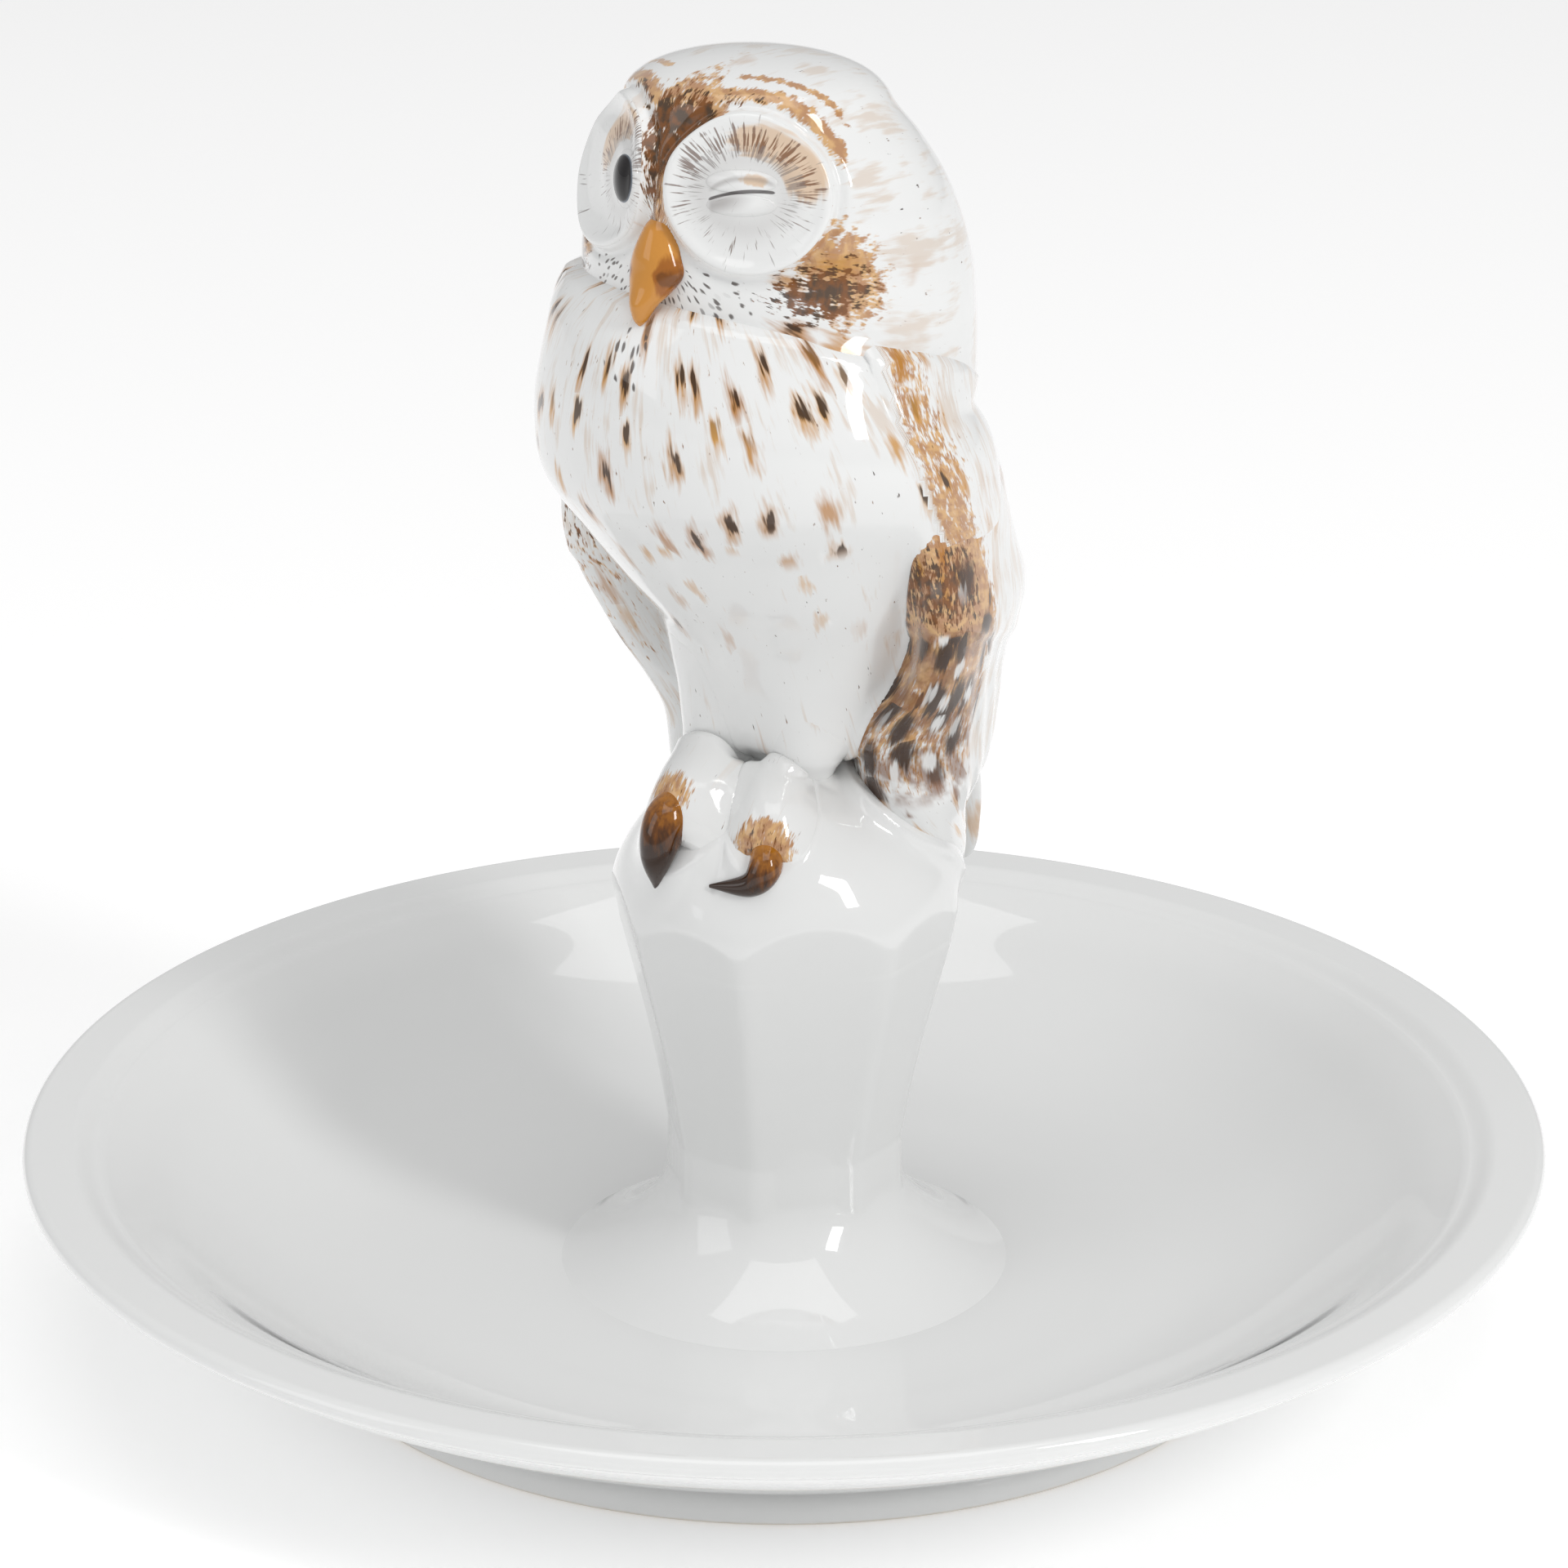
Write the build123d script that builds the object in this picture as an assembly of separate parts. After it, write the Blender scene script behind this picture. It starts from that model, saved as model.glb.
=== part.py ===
from build123d import *
import os
from math import asin, cos, pi, radians, sin, sqrt

# A porcelain owl perched on a faceted column that rises from the middle of a round dish.
# Millimetres. +Z is up, the origin is the centre of the foot ring's underside, the owl faces -Y
# and its left side is +X. Raw pieces are trimmed by the pieces they are stuck to, so that they
# meet face to face.

# Dish
dish_radius = 120.0
dish_height = 32.7
rim_thickness = 3.0
rim_width = 12.0
rim_step = 2.0
well_floor = 7.4
well_thickness = 3.6
vent_radius = 3.0

# Foot ring
foot_radius = 78.0
foot_width = 6.0
foot_height = 5.5

# Perch column
neck_height = 30.0
neck_radius = 19.3
shoulder_height = 68.0
shoulder_radius = 28.3
dome_radius = 28.5
dome_top = 92.5
flare_radius = 39.0
flare_edge = 0.8
column_wall = 4.5
narrow_facet = 39.2
inner_vent_radius = 1.5

# Owl: torso
torso_width = 71.0
torso_depth = 63.0
torso_height = 76.0
torso_sink = 2.5
torso_wall = 5.0

# Owl: head
head_width = 58.0
head_depth = 56.0
head_height = 56.0
head_wall = 5.0
head_rise = 10.5
head_forward = 3.0
head_turn = 5.0

# Owl: face
relief = 1.5
disc_radius = 13.0
disc_spread = 30.0
disc_lift = 22.0
bridge_gap = 1.2
eye_radius = 2.8
eye_bulge = 1.4
eye_spread = 22.0
lid_width = 1.3
lid_bulge = 0.9
closed_lid_radius = 5.2
closed_lid_bulge = 0.9
closed_slit = 0.5
beak_length = 13.5
beak_rise = 5.0
beak_width = 8.0
beak_depth = 7.5

# Owl: wings and tail
wing_length = 86.0
wing_width = 42.0
wing_thickness = 22.0
wing_turn = 16.0
wing_drop = 12.0
tail_length = 46.0
tail_width = 32.0
tail_thickness = 11.0

# Owl: legs and feet
leg_length = 20.0
leg_width = 13.4
leg_depth = 17.0
leg_gap = 0.8
leg_forward = 4.0
toe_length = 13.0
claw_length = 14.0
claw_radius = 2.8
toe_places = [("right", -16.5, 18.0, 6.0), ("left", 26.5, 16.5, 4.8)]

# Values that follow from the ones above
dome_centre = dome_top - dome_radius
torso_base = dome_top - torso_sink
torso_top = torso_base + torso_height
head_centre = torso_top + head_rise
wide_facet = 90.0 - narrow_facet
inner_vent_back = leg_depth / 2 - leg_forward + 3 * inner_vent_radius


def oval_loft(sections):
    """A smooth solid through level ovals, each (z, x, y, half width, half depth)."""
    ovals = []
    for z, x, y, half_width, half_depth in sections:
        ovals.append(Plane((x, y, z)) * Ellipse(half_width, half_depth))
    return loft(ovals)


def largest(shape):
    """The biggest solid of a trimmed shape."""
    return max(shape.solids(), key=lambda solid: solid.volume)


def trimmed(shape, *neighbours):
    """The raw shape with its neighbours taken away, so that it meets them face to face."""
    for neighbour in neighbours:
        shape = shape - neighbour
    return largest(shape)


def turned(points):
    """A solid turned round the Z axis from closed wire edges in the XZ plane."""
    return revolve(make_face(points), axis=Axis.Z)


def dish():
    """The dish: flat rim, small step, deep well and a vent hole in the middle."""
    rim_inside = dish_radius - rim_width
    step_height = dish_height - rim_step
    lip_middle = dish_height - rim_thickness / 2
    under_rim = dish_height - rim_thickness
    top_inside = (rim_inside, 0, step_height)
    top_outside = (dish_radius - rim_thickness / 2, 0, dish_height)
    under_outside = (dish_radius - rim_thickness / 2, 0, under_rim)
    lip_front = (dish_radius, 0, lip_middle)
    floor_edge = (flare_radius * 0.8, 0, well_floor)
    floor_rise = well_floor + (step_height - well_floor) * 0.27
    wall_rise = well_floor + (step_height - well_floor) * 0.62
    well = Spline(
        top_inside,
        (rim_inside * 0.93, 0, wall_rise),
        (rim_inside * 0.75, 0, floor_rise),
        floor_edge,
        tangents=[(-1, 0, -0.7), (-1, 0, 0)],
    )
    foot_seat = (foot_radius, 0, foot_height)
    belly_rise = foot_height + (under_rim - foot_height) * 0.55
    belly = Spline(
        foot_seat,
        ((foot_radius + dish_radius) / 2, 0, belly_rise),
        under_outside,
        tangents=[(1, 0, 0.55), (1, 0, 0.45)],
    )
    under_floor = well_floor - well_thickness
    inside_foot = (foot_radius - foot_width, 0, foot_height)
    outline = [
        Line((vent_radius, 0, well_floor), floor_edge),
        well,
        Line(top_inside, top_outside),
        ThreePointArc(top_outside, lip_front, under_outside),
        belly,
        Line(foot_seat, inside_foot),
        Line(inside_foot, (vent_radius, 0, under_floor)),
        Line((vent_radius, 0, under_floor), (vent_radius, 0, well_floor)),
    ]
    return turned(outline)


def foot_ring():
    """The ring under the dish, with its lower edges rounded off."""
    inside = foot_radius - foot_width
    edge = foot_width / 4
    outline = [
        Line((inside, 0, foot_height), (foot_radius, 0, foot_height)),
        Line((foot_radius, 0, foot_height), (foot_radius, 0, edge)),
        Line((foot_radius, 0, edge), (foot_radius - edge, 0, 0)),
        Line((foot_radius - edge, 0, 0), (inside + edge, 0, 0)),
        Line((inside + edge, 0, 0), (inside, 0, edge)),
        Line((inside, 0, edge), (inside, 0, foot_height)),
    ]
    return turned(outline)


def facet_outline(radius, height):
    """A level eight-sided outline, with narrow facets to the front, back and sides."""
    corners = []
    for quarter in range(4):
        for side in (-1, 1):
            angle = radians(90 * quarter + side * narrow_facet / 2)
            corners.append((radius * cos(angle), radius * sin(angle)))
    return Plane((0, 0, height)) * make_face(Polyline(*corners, close=True))


def column_hollow():
    """The space inside the column, from the dish up to just under the shoulder's dome."""
    neck = neck_radius * cos(radians(wide_facet / 2)) - column_wall
    shoulder = shoulder_radius * cos(radians(wide_facet / 2)) - column_wall
    inner_dome = dome_radius - column_wall
    dome_edge = dome_centre + sqrt(inner_dome**2 - shoulder**2)
    dome_middle = (inner_dome * sin(pi / 8), 0, dome_centre + inner_dome * cos(pi / 8))
    outline = [
        Line((0, 0, 0), (flare_radius / 2, 0, 0)),
        Line((flare_radius / 2, 0, 0), (neck, 0, neck_height)),
        Line((neck, 0, neck_height), (shoulder, 0, dome_edge)),
        ThreePointArc((shoulder, 0, dome_edge), dome_middle, (0, 0, dome_centre + inner_dome)),
        Line((0, 0, dome_centre + inner_dome), (0, 0, 0)),
    ]
    return turned(outline)


def perch_column(dish_solid):
    """The hollow column: eight facets under a dome, on a round flare."""
    spread = (shoulder_radius - neck_radius) / (shoulder_height - neck_height)
    neck_foot = well_floor + (neck_height - well_floor) * 0.3
    top_radius = shoulder_radius + spread * (dome_top - shoulder_height)
    facets = loft([facet_outline(neck_radius, neck_foot), facet_outline(neck_radius, neck_height)])
    facets += loft([facet_outline(neck_radius, neck_height), facet_outline(top_radius, dome_top)])
    post = Cylinder(dome_radius, dome_centre, align=(Align.CENTER, Align.CENTER, Align.MIN))
    dome = post + Pos(0, 0, dome_centre) * Sphere(dome_radius)
    inscribed = neck_radius * cos(radians(wide_facet / 2))
    edge_top = well_floor + flare_edge
    flare = turned([
        Line((0, 0, 0), (flare_radius, 0, 0)),
        Line((flare_radius, 0, 0), (flare_radius, 0, edge_top)),
        Spline(
            (flare_radius, 0, edge_top),
            (inscribed, 0, neck_height),
            tangents=[(-1, 0, 0), (0, 0, 1)],
        ),
        Line((inscribed, 0, neck_height), (0, 0, neck_height)),
        Line((0, 0, neck_height), (0, 0, 0)),
    ])
    below_floor = Cylinder(dish_radius, well_floor, align=(Align.CENTER, Align.CENTER, Align.MIN))
    return trimmed((facets & dome) + flare, column_hollow(), below_floor, dish_solid)


def torso_sections(wall):
    """The torso's ovals, drawn in by a wall: height, forward lean, width and depth as shares."""
    shares = [
        (0.00, 0.08, 0.31, 0.38),
        (0.09, 0.09, 0.35, 0.48),
        (0.25, 0.10, 0.44, 0.60),
        (0.33, 0.09, 0.52, 0.70),
        (0.45, 0.05, 0.74, 0.83),
        (0.55, -0.01, 0.90, 0.94),
        (0.66, -0.07, 1.00, 1.00),
        (0.77, -0.10, 1.00, 0.98),
        (0.85, -0.14, 0.96, 0.90),
        (0.93, -0.14, 0.91, 0.86),
        (1.00, -0.13, 0.80, 0.78),
    ]
    hollow_shares = [row for row in shares if 0.4 < row[0] < 0.9]
    rows = []
    for height, lean, width, depth in hollow_shares if wall else shares:
        half_width = torso_width / 2 * width - wall
        half_depth = torso_depth / 2 * depth - wall
        rows.append((torso_base + torso_height * height, 0, torso_depth * lean, half_width, half_depth))
    return rows


def inner_vent(bottom, top, back):
    """An upright vent hole between two hollows."""
    return Pos(0, back, (bottom + top) / 2) * Cylinder(inner_vent_radius, top - bottom)


def leg(side):
    """One feathered leg, with its lower end resting on the dome."""
    x = side * (leg_width + leg_gap) / 2
    rows = []
    for height, width, depth in [(-0.1, 0.55, 0.55), (0.1, 0.8, 0.85), (0.5, 0.97, 1.0), (1.0, 0.85, 0.9)]:
        half_width = leg_width / 2 * width
        rows.append((dome_top + leg_length * height, x, -leg_forward, half_width, leg_depth / 2 * depth))
    return oval_loft(rows)


def wing(side):
    """One folded wing, thick at the shoulder and drawn in to its tip at the back."""
    shares = [
        (1.00, 0.70, 0.03, 0.30, 0.28),
        (0.88, 0.84, 0.04, 0.46, 0.64),
        (0.74, 0.86, 0.08, 0.50, 0.79),
        (0.60, 0.76, 0.17, 0.57, 0.97),
        (0.52, 0.69, 0.20, 0.62, 0.96),
        (0.40, 0.50, 0.24, 0.87, 0.95),
        (0.28, 0.42, 0.27, 0.95, 0.92),
        (0.18, 0.45, 0.32, 0.66, 0.78),
        (0.09, 0.50, 0.40, 0.48, 0.52),
        (0.00, 0.52, 0.46, 0.24, 0.20),
    ]
    ovals = []
    for height, out, back, thickness, width in shares:
        z = torso_top - wing_drop - wing_length * (1 - height)
        place = Pos(side * torso_width / 2 * out, torso_depth * back, z) * Rot(0, 0, side * wing_turn)
        ovals.append(place * Ellipse(wing_thickness / 2 * thickness, wing_width / 2 * width))
    return loft(ovals)


def tail_blank():
    """The tail: a flat leaf that slants back and ends in a rounded tip."""
    shares = [
        (0.00, 0.36, 0.94, 1.00),
        (0.35, 0.47, 1.00, 1.00),
        (0.70, 0.53, 0.94, 0.75),
        (0.95, 0.56, 0.62, 0.45),
        (1.00, 0.565, 0.35, 0.30),
    ]
    rows = []
    for drop, back, width, thickness in shares:
        z = torso_base + torso_height * 0.26 - tail_length * drop
        rows.append((z, 0, torso_depth * back, tail_width / 2 * width, tail_thickness / 2 * thickness))
    return oval_loft(rows)


def head_egg(grow):
    """The head's egg shape, grown by a relief height or drawn in by a wall."""
    egg = scale(Sphere(1), (head_width / 2 + grow, head_depth / 2 + grow, head_height / 2 + grow))
    return Pos(0, -head_forward, head_centre) * egg


def face_place(spread, lift):
    """A place on the face: an axis from the middle of the head, spread sideways and lifted."""
    centre = Pos(0, -head_forward, head_centre)
    return centre * Rot(0, 0, spread - head_turn) * Rot(90 - lift, 0, 0)


def face_drum(radius, spread, lift):
    """A drum that stands out of the head along an axis of the face."""
    drum = Cylinder(radius, head_depth, align=(Align.CENTER, Align.CENTER, Align.MIN))
    return face_place(spread, lift) * drum


def face_half(side):
    """The half of the face on one side of the bridge."""
    half = Box(head_width, 2 * head_depth, 2 * head_height, align=(Align.MIN, Align.CENTER, Align.CENTER))
    turn = 0 if side > 0 else 180
    centre = Pos(0, -head_forward, head_centre)
    return centre * Rot(0, 0, -head_turn) * Rot(0, 0, turn) * Pos(bridge_gap / 2, 0, 0) * half


def beak_blank():
    """The hooked beak: ovals that shrink and lean forward from its root to its tip."""
    front = head_depth / 2 - relief
    shares = [(0.0, 0.55, 0.6, 0.00), (0.3, 0.95, 1.0, 0.10), (0.65, 0.7, 0.7, 0.22), (1.0, 0.16, 0.2, 0.20)]
    rows = []
    for drop, width, depth, out in shares:
        y = -front - beak_depth * out
        rows.append((-beak_length * drop, 0, y, beak_width / 2 * width, beak_depth / 2 * depth))
    root = Pos(0, -head_forward, head_centre + beak_rise)
    return root * Rot(0, 0, -head_turn) * oval_loft(rows)


def toe(angle, reach, radius):
    """One toe: a rounded bulge over the dome's edge, at an angle round the column."""
    rows = [
        (-toe_length * 0.5, 0, 0, radius * 0.75, radius * 0.75),
        (-toe_length * 0.2, 0, 0, radius, radius),
        (toe_length * 0.25, 0, 0, radius, radius),
        (toe_length * 0.5, 0, 0, radius * 0.6, radius * 0.6),
    ]
    rise = dome_centre + sqrt(dome_radius**2 - reach**2)
    return Rot(0, 0, angle) * Pos(0, -reach, rise) * Rot(55, 0, 0) * oval_loft(rows)


def claw(angle, reach):
    """One claw: a curved spike that runs down over the dome from its toe."""
    start = asin(reach / dome_radius) + toe_length * 0.3 / dome_radius
    out = dome_radius + claw_radius * 0.4
    steps = 4
    rows = []
    for step in range(steps + 1):
        share = step / steps
        around = start + claw_length / dome_radius * share
        place = Plane(
            origin=(0, -out * sin(around), dome_centre + out * cos(around)),
            x_dir=(1, 0, 0),
            z_dir=(0, -cos(around), -sin(around)),
        )
        rows.append(place * Circle(claw_radius * (1 - 0.85 * share)))
    return Rot(0, 0, angle) * loft(rows)


def build_base():
    """The dish, its foot ring and the column."""
    pieces = {"dish": dish(), "foot_ring": foot_ring()}
    pieces["perch_column"] = perch_column(pieces["dish"])
    vent = inner_vent(dome_centre, dome_top, inner_vent_back)
    pieces["perch_column"] = trimmed(pieces["perch_column"], vent)
    return pieces


def build_body(column):
    """Legs, torso, wings and tail."""
    pieces = {}
    for name, side in (("left", 1), ("right", -1)):
        pieces[name + "_leg"] = trimmed(leg(side), column, column_hollow())
    legs = list(pieces.values())
    hollow_rows = torso_sections(torso_wall)
    hollow = oval_loft(hollow_rows)
    vents = [
        inner_vent(dome_centre, hollow_rows[0][0] + torso_wall, inner_vent_back),
        inner_vent(hollow_rows[-1][0] - torso_wall, torso_top + torso_wall, -head_forward),
    ]
    blank = oval_loft(torso_sections(0))
    pieces["owl_torso"] = trimmed(blank, column, column_hollow(), *legs, hollow, *vents)
    pieces["tail"] = trimmed(tail_blank(), blank, column)
    for name, side in (("left", 1), ("right", -1)):
        pieces[name + "_wing"] = trimmed(wing(side), blank, column, pieces["tail"], *legs)
    return pieces, blank


def build_head(torso_blank, wings):
    """The hollow head, with its discs, eye, lids and beak."""
    pieces = {}
    egg = head_egg(0)
    vent = inner_vent(torso_top - torso_wall, torso_top + 2 * torso_wall, -head_forward)
    pieces["owl_head"] = trimmed(egg, torso_blank, *wings, head_egg(-head_wall), vent)
    raised = head_egg(relief) - egg
    pieces["beak"] = trimmed(beak_blank(), egg, torso_blank)
    for name, side in (("left", 1), ("right", -1)):
        patch = raised & face_drum(disc_radius, side * disc_spread, disc_lift) & face_half(side)
        pieces[name + "_facial_disc"] = trimmed(patch, pieces["beak"], torso_blank)
    right_disc = head_egg(relief)
    rim_shell = head_egg(relief + lid_bulge) - right_disc
    eye_drum = face_drum(eye_radius, -eye_spread, disc_lift)
    rim_drum = face_drum(eye_radius + lid_width, -eye_spread, disc_lift) - eye_drum
    pieces["open_eye_rim"] = trimmed(rim_shell & rim_drum)
    pieces["open_eye"] = trimmed((head_egg(relief + eye_bulge) - right_disc) & eye_drum)
    lid_shell = head_egg(relief + closed_lid_bulge) - right_disc
    lids = lid_shell & face_drum(closed_lid_radius, disc_spread, disc_lift)
    slit_box = Box(*[2 * head_width] * 3, align=(Align.CENTER, Align.MIN, Align.CENTER))
    for name, turn in (("upper", 0), ("lower", 180)):
        half = face_place(disc_spread, disc_lift) * Rot(0, 0, turn) * Pos(0, closed_slit / 2, 0) * slit_box
        pieces["closed_" + name + "_lid"] = trimmed(lids & half)
    return pieces


def build_feet(column, body):
    """The front toe of each foot and its claw."""
    pieces = {}
    neighbours = [column, body["left_leg"], body["right_leg"], body["owl_torso"]]
    for name, angle, reach, radius in toe_places:
        toe_blank = toe(angle, reach, radius)
        pieces[name + "_toe"] = trimmed(toe_blank, *neighbours, *pieces.values())
    for name, angle, reach, radius in toe_places:
        pieces[name + "_claw"] = trimmed(claw(angle, reach), column, *pieces.values())
    return pieces


def main():
    """Build every piece and write one STEP file for each."""
    base = build_base()
    column = base["perch_column"]
    body, torso_blank = build_body(column)
    head = build_head(torso_blank, [body["left_wing"], body["right_wing"]])
    feet = build_feet(column, body)
    os.makedirs("parts", exist_ok=True)
    for name, piece in {**base, **body, **head, **feet}.items():
        export_step(piece, "parts/" + name + ".step")


main()
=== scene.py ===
import logging
import math
from dataclasses import dataclass, field
from enum import Enum
from functools import partial
from typing import Callable, Sequence

import bpy
import numpy as np
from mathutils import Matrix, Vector


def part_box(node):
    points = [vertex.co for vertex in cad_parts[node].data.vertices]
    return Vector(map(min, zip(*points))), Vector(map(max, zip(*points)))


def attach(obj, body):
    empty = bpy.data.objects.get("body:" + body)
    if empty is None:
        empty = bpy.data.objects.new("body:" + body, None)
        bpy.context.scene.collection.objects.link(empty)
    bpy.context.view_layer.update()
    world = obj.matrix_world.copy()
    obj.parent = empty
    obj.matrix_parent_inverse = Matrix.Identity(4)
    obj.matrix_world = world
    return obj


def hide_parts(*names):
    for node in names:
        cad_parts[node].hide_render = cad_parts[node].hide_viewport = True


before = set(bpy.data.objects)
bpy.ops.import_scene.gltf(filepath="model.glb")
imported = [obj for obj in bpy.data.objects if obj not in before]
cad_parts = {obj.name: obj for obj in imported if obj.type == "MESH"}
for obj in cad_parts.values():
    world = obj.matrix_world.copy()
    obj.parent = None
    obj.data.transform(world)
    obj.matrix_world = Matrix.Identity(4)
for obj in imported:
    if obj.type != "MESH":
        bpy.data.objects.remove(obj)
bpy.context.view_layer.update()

# A glazed porcelain owl, one eye closed, on a faceted column in a round footed dish.
# Shapes are worked out in millimetres and turned into metres when a mesh is made.
# The owl faces -Y, its left is +X, and the dish stands on z = 0.

log = logging.getLogger("owl_dish")
Array = np.ndarray
Field = Callable[[Array], Array]
MM = 0.001
NEAR_ZERO = 1e-6
ROOT = "root"


class Side(Enum):
    """The owl's own left and right."""

    LEFT = 1
    RIGHT = -1

    @property
    def word(self) -> str:
        """The word that starts a piece's name."""
        return self.name.lower()


# ---------------------------------------------------------------- shape kit


def unit(vectors: Array) -> Array:
    """Scales vectors to length one."""
    return vectors / np.maximum(np.linalg.norm(vectors, axis=-1, keepdims=True), 1e-9)


def ease(value: Array, low: float, high: float) -> Array:
    """A smooth step from 0 at low to 1 at high.

    Args:
        value: what is measured.
        low: where the step starts.
        high: where the step ends; below low, the step goes down.

    Returns:
        Values from 0 to 1.
    """
    share = np.clip((value - low) / (high - low), 0.0, 1.0)
    return share * share * (3.0 - 2.0 * share)


def hump(value: Array, centre: float, width: float) -> Array:
    """A bell curve of height one about a centre."""
    return np.exp(-(((value - centre) / width) ** 2))


def through(at: Array, keys: Array, values: Array) -> Array:
    """A smooth curve through a few keys.

    Args:
        at: where the curve is read.
        keys: rising places of the keys.
        values: the curve's value at each key.

    Returns:
        The curve's values, held level past both ends.
    """
    slopes = np.gradient(values, keys)
    cell = np.clip(np.searchsorted(keys, at) - 1, 0, len(keys) - 2)
    span = keys[cell + 1] - keys[cell]
    t = np.clip((at - keys[cell]) / span, 0.0, 1.0)
    start = (1 + 2 * t) * (1 - t) ** 2 * values[cell] + t * (1 - t) ** 2 * span * slopes[cell]
    end = t * t * (3 - 2 * t) * values[cell + 1] - t * t * (1 - t) * span * slopes[cell + 1]
    return start + end


def turned_about_z(points: Array, degrees: float | Array) -> Array:
    """Turns points about the upright axis, all by one angle or each by its own."""
    angle = np.radians(degrees)
    x = points[:, 0] * np.cos(angle) - points[:, 1] * np.sin(angle)
    y = points[:, 0] * np.sin(angle) + points[:, 1] * np.cos(angle)
    return np.stack([x, y, points[:, 2]], axis=1)


def level_ring(radius: Array, angle: Array, height: Array) -> Array:
    """Points round the upright axis at given radii, angles and heights."""
    return np.stack([radius * np.cos(angle), radius * np.sin(angle), height], axis=1)


@dataclass
class Skin:
    """A closed surface: points in millimetres, faces, and painting values on the points."""

    points: Array
    faces: list
    paint: dict = field(default_factory=dict)

    def normals(self) -> Array:
        """Area-weighted normals of the points."""
        total = np.zeros_like(self.points)
        for block in self.faces:
            corners = self.points[block]
            if block.shape[1] == 4:
                area = np.cross(corners[:, 2] - corners[:, 0], corners[:, 3] - corners[:, 1])
            else:
                area = np.cross(corners[:, 1] - corners[:, 0], corners[:, 2] - corners[:, 0])
            for column in range(block.shape[1]):
                np.add.at(total, block[:, column], area)
        return unit(total)

    def raised(self, heights: Array, along: Array | None = None) -> "Skin":
        """The skin moved along its normals, or along other directions, by a height at each point."""
        direction = self.normals() if along is None else along
        return Skin(self.points + direction * heights[:, None], self.faces, self.paint)


def ring_grid(rings: Array, low_pole: Array, high_pole: Array) -> Skin:
    """A closed skin from stacked rings and a pole at each end.

    Args:
        rings: points by level and by step around, counter-clockwise seen from the high pole.
        low_pole: the point that closes the lowest ring.
        high_pole: the point that closes the highest ring.

    Returns:
        The closed skin.
    """
    levels, around, _ = rings.shape
    points = np.concatenate([rings.reshape(-1, 3), [low_pole, high_pole]])
    index = np.arange(levels * around).reshape(levels, around)
    beside = np.roll(index, -1, axis=1)
    quads = np.stack([index[:-1], beside[:-1], beside[1:], index[1:]], axis=-1).reshape(-1, 4)
    low, high = levels * around, levels * around + 1
    under = np.stack([np.full(around, low), beside[0], index[0]], axis=1)
    over = np.stack([np.full(around, high), index[-1], beside[-1]], axis=1)
    return Skin(points, [quads, np.concatenate([under, over])])


@dataclass(frozen=True)
class OvalBody:
    """A rounded body through level ovals: rows of (z, x, y, half width, half depth, turn)."""

    rows: tuple
    low_cap: float = 4.0
    high_cap: float = 4.0
    side: Side = Side.LEFT

    def section(self, z: Array) -> tuple:
        """The oval at each height, with both ends of the body rounded off."""
        table = np.array(self.rows, dtype=float)
        keys = table[:, 0]
        x, y, width, depth, turn = (through(z, keys, table[:, column]) for column in range(1, 6))
        low = np.clip(1 - (z - keys[0]) / self.low_cap, 0, 1)
        high = np.clip(1 - (keys[-1] - z) / self.high_cap, 0, 1)
        cap = np.sqrt(np.maximum(1 - low**2, 0)) * np.sqrt(np.maximum(1 - high**2, 0))
        return x * self.side.value, y, width * cap, depth * cap, turn * self.side.value

    def local(self, points: Array) -> tuple:
        """Points as places across and along the oval at their height, with the oval's half sizes."""
        x, y, width, depth, turn = self.section(points[:, 2])
        moved = np.stack([points[:, 0] - x, points[:, 1] - y, points[:, 2]], axis=1)
        return turned_about_z(moved, -turn), width, depth

    def distance(self, points: Array) -> Array:
        """About how far points lie outside the body; negative inside."""
        inside = np.clip(points[:, 2], self.rows[0][0] + 0.05, self.rows[-1][0] - 0.05)
        place, width, depth = self.local(np.stack([points[:, 0], points[:, 1], inside], axis=1))
        radius = np.hypot(place[:, 0], place[:, 1])
        stretch = np.hypot(place[:, 0] / np.maximum(width, 0.05), place[:, 1] / np.maximum(depth, 0.05))
        outward = radius - radius / np.maximum(stretch, NEAR_ZERO)
        level = np.where(stretch > NEAR_ZERO, outward, -np.minimum(width, depth))
        beyond = np.abs(points[:, 2] - inside)
        return np.where(beyond > 0, np.hypot(np.maximum(level, 0), beyond), level)

    def skin(self, levels: int, around: int) -> Skin:
        """The body's surface."""
        low, high = self.rows[0][0], self.rows[-1][0]
        t = np.linspace(0, 1, levels + 2)[1:-1]
        z = low + (high - low) * (t - 0.93 * np.sin(2 * np.pi * t) / (2 * np.pi))
        x, y, width, depth, turn = self.section(z)
        angle = np.linspace(0, 2 * np.pi, around, endpoint=False)
        flat = np.stack(
            [
                (width[:, None] * np.cos(angle)).ravel(),
                (depth[:, None] * np.sin(angle)).ravel(),
                np.repeat(z, around),
            ],
            axis=1,
        )
        flat = turned_about_z(flat, np.repeat(turn, around))
        flat[:, 0] += np.repeat(x, around)
        flat[:, 1] += np.repeat(y, around)
        ends = []
        for height in (low, high):
            x_end, y_end = self.section(np.array([height]))[:2]
            ends.append(np.array([x_end[0], y_end[0], height]))
        return ring_grid(flat.reshape(levels, around, 3), *ends)


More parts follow.
